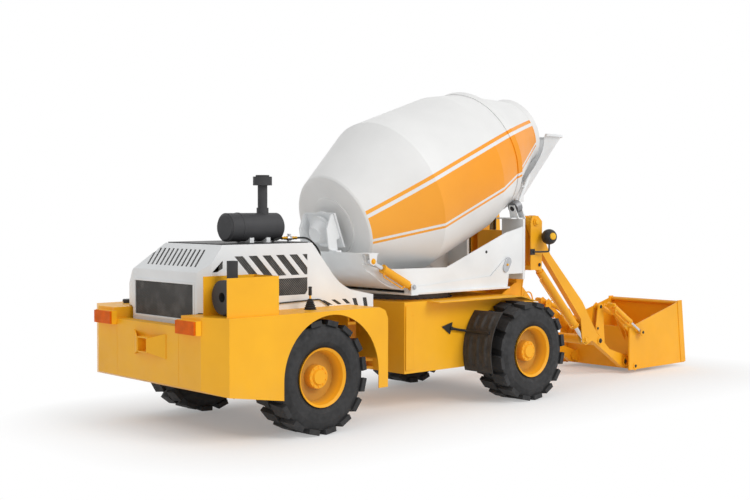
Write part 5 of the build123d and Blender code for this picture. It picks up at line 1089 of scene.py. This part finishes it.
STRIPS = (
    # name, body, material, rounding, boxes as low and high corners
    ("rear_face_seams", REAR, arm_yellow, 0.0,
     (((-4.3212, -0.574, 0.562), (-4.3195, -0.571, 1.140)),
      ((-4.3212, 0.571, 0.562), (-4.3195, 0.574, 1.140)))),
    ("frame_end_strips", FRONT, yellow, 0.003,
     (((-1.425, 0.750, 0.470), (-1.300, 0.759, 1.085)),
      ((-1.425, -0.759, 0.470), (-1.300, -0.750, 1.085)))),
    ("screen_border", REAR, white, 0.002,
     (((-4.1265, -0.554, 1.544), (-4.1195, 0.554, 1.566)),
      ((-4.1265, -0.554, 1.171), (-4.1195, 0.554, 1.193)),
      ((-4.1265, -0.554, 1.193), (-4.1195, -0.532, 1.544)),
      ((-4.1265, 0.532, 1.193), (-4.1195, 0.554, 1.544)))),
)


# Gaskets round the panes: their width inwards, and the share of it outwards
GASKET = 0.022
GASKET_OUT = 0.4


def add_frame(bm, low, high, outward):
    """A flat gasket round an upright pane given by two opposite corners, its lip looking outward."""
    corners = [Vector(c) for c in (low, (high[0], high[1], low[2]), high, (low[0], low[1], high[2]))]
    middle = sum(corners, Vector()) / 4
    inward = [(middle - corner).normalized() for corner in corners]
    edges = [corner + way * GASKET for corner, way in zip(corners, inward)]
    edges += [corner - way * GASKET * GASKET_OUT for corner, way in zip(corners, inward)]
    under = [bm.verts.new(p) for p in edges]
    over = [bm.verts.new(p + Vector(outward)) for p in edges]
    for index in range(4):
        after = (index + 1) % 4
        bm.faces.new((over[index], over[after], over[4 + after], over[4 + index]))
        bm.faces.new((under[index], under[4 + index], under[4 + after], under[after]))
        bm.faces.new((under[index], under[after], over[after], over[index]))
        bm.faces.new((under[4 + index], over[4 + index], over[4 + after], under[4 + after]))


def make_gaskets():
    """Gaskets of the cab's rear and side panes, and of the door's pane."""
    bm = bmesh.new()
    add_frame(bm, (0.90, 0.67, 1.40), (0.90, 1.192, 2.22), (-0.006, 0, 0))
    add_frame(bm, (0.98, 0.60, 1.40), (1.59, 0.60, 2.22), (0, -0.006, 0))
    finished("cab_gaskets", FRONT, gasket_rubber, bm)
    bm = bmesh.new()
    add_frame(bm, (1.025, 1.258, 1.40), (1.575, 1.258, 2.165), (0, 0.005, 0))
    finished("door_gasket", "door", gasket_rubber, bm)


# Drum's inside as pairs of distance along the axis and radius, and the two spiral blades on it
BORE = ((0.10, 0.62), (0.868, 0.930), (2.0, 0.883), (TRACK_ALONG, 0.760), (3.25, 0.430))
BLADE_START = 0.15
BLADE_RUN = 3.05
BLADE_TURNS = 2.2
BLADE_STEPS = 96
BLADE_RAKE = 0.03
BLADE_GAP = 0.002
BLADE_THICK = 0.006
BLADE_TIP = 0.62
MOUTH_TIP = 0.70
MOUTH_FROM = 2.4


def bore_radius(along):
    """Radius of the drum's inside at a distance along its axis."""
    for (a, ra), (b, rb) in zip(BORE, BORE[1:]):
        if along <= b:
            return ra + (rb - ra) * (along - a) / (b - a)
    return BORE[-1][1]


def make_blades():
    """Two spiral blades inside the drum."""
    axis = Vector(DRUM_AXIS)
    up = Vector(DRUM_UP)
    left = Vector((0, 1, 0))
    bm = bmesh.new()
    for start in (0.0, math.pi):
        edge = []
        for index in range(BLADE_STEPS + 1):
            share = index / BLADE_STEPS
            along = BLADE_START + BLADE_RUN * share
            angle = start + 2 * math.pi * BLADE_TURNS * share
            ray = left * math.cos(angle) + up * math.sin(angle)
            rim = bore_radius(along) - BLADE_GAP
            tip = rim * (BLADE_TIP if along < MOUTH_FROM else MOUTH_TIP)
            here = Vector(DRUM_AT) + axis * along
            edge.append((bm.verts.new(here + ray * rim), bm.verts.new(here + axis * BLADE_RAKE + ray * tip)))
        for (a, b), (c, d) in zip(edge, edge[1:]):
            bm.faces.new((a, c, d, b))
    thicken(finished("drum_blades", "mixing_drum", white, bm, sharp=80.0), BLADE_THICK, -1.0)


# Stage: floor, sky and lamps. The floor glows white to the eye, less near the machine, where its shadow is
FLOOR_SIZE = 60.0
FLOOR_Z = -0.001
FLOOR_WHITE = (246, 246, 246)
NEAR = (3.6, 0.7)
NEAR_GLOW = 0.24
FADE = 1.9
SKY_LIGHT = 0.53
WHITE_LIGHT = (1.0, 1.0, 1.0, 1.0)
LAMPS = (
    # name, direction the light travels, strength, angle of its disc in degrees
    ("key", (-0.25, 1.0, -0.75), 1.36, 30.0),
    ("fill", (1.0, 0.35, -0.5), 0.24, 60.0),
)


def make_floor():
    """A plain pale floor."""
    bpy.ops.mesh.primitive_plane_add(size=FLOOR_SIZE, location=(0.0, 0.0, FLOOR_Z))
    floor = bpy.context.object
    floor.name = "floor"
    g = Surface("floor_white")
    past = [g.math("MAXIMUM", g.math("SUBTRACT", g.math("ABSOLUTE", way), near), 0.0)
            for way, near in zip(g.axes(), NEAR)]
    far = g.spread(g.length(*past), 0.0, FADE, NEAR_GLOW, 1.0)
    g.set(Base_Color=linear(FLOOR_WHITE), Roughness=0.9, Specular_IOR_Level=0.1)
    glow = g.filled(g.node("ShaderNodeEmission"), WHITE_LIGHT)
    both = g.mix_shaders(g.product(far, g.in_view()), g.shader.outputs[0], glow.outputs[0])
    g.put(g.tree.nodes["Material Output"].inputs["Surface"], both)
    floor.data.materials.append(g.material)


def make_sky():
    """Even light, with plain white behind the machine."""
    world = bpy.data.worlds.new("sky")
    bpy.context.scene.world = world
    g = Graph(world)
    g.tree.nodes.clear()
    light = g.filled(g.node("ShaderNodeBackground"), WHITE_LIGHT, SKY_LIGHT)
    backdrop = g.filled(g.node("ShaderNodeBackground"), WHITE_LIGHT)
    both = g.mix_shaders(g.in_view(), light.outputs[0], backdrop.outputs[0])
    g.put(g.node("ShaderNodeOutputWorld").inputs["Surface"], both)


def make_lamps():
    """Two soft suns."""
    for name, direction, strength, angle in LAMPS:
        data = bpy.data.lights.new(name, "SUN")
        data.energy = strength
        data.angle = math.radians(angle)
        placed(name, data).rotation_euler = Vector(direction).to_track_quat("-Z", "Y").to_euler()


def make_camera():
    """The photograph's camera."""
    data = bpy.data.cameras.new("camera")
    data.lens = LENS
    data.sensor_width = SENSOR
    data.clip_end = CLIP_END
    camera = placed("camera", data)
    camera.location = CAMERA_AT
    camera.rotation_euler = (math.radians(90 - CAMERA_PITCH), 0.0, math.radians(CAMERA_YAW - 90))
    camera.rotation_euler.rotate_axis("Z", math.radians(CAMERA_ROLL))
    bpy.context.scene.camera = camera


make_seat()
make_pin_heads()
make_bosses()
make_wheel_nuts()
make_slewing_bolts()
make_cradle_pins()
make_valve()
make_fender_fittings()
make_rails()
make_barrel_pipes()
make_arches()
make_lamp()
make_mudguards()
make_boxed(STRIPS)
make_gaskets()
make_blades()
make_floor()
make_sky()
make_lamps()
make_camera()
bpy.context.scene.view_settings.view_transform = "Standard"
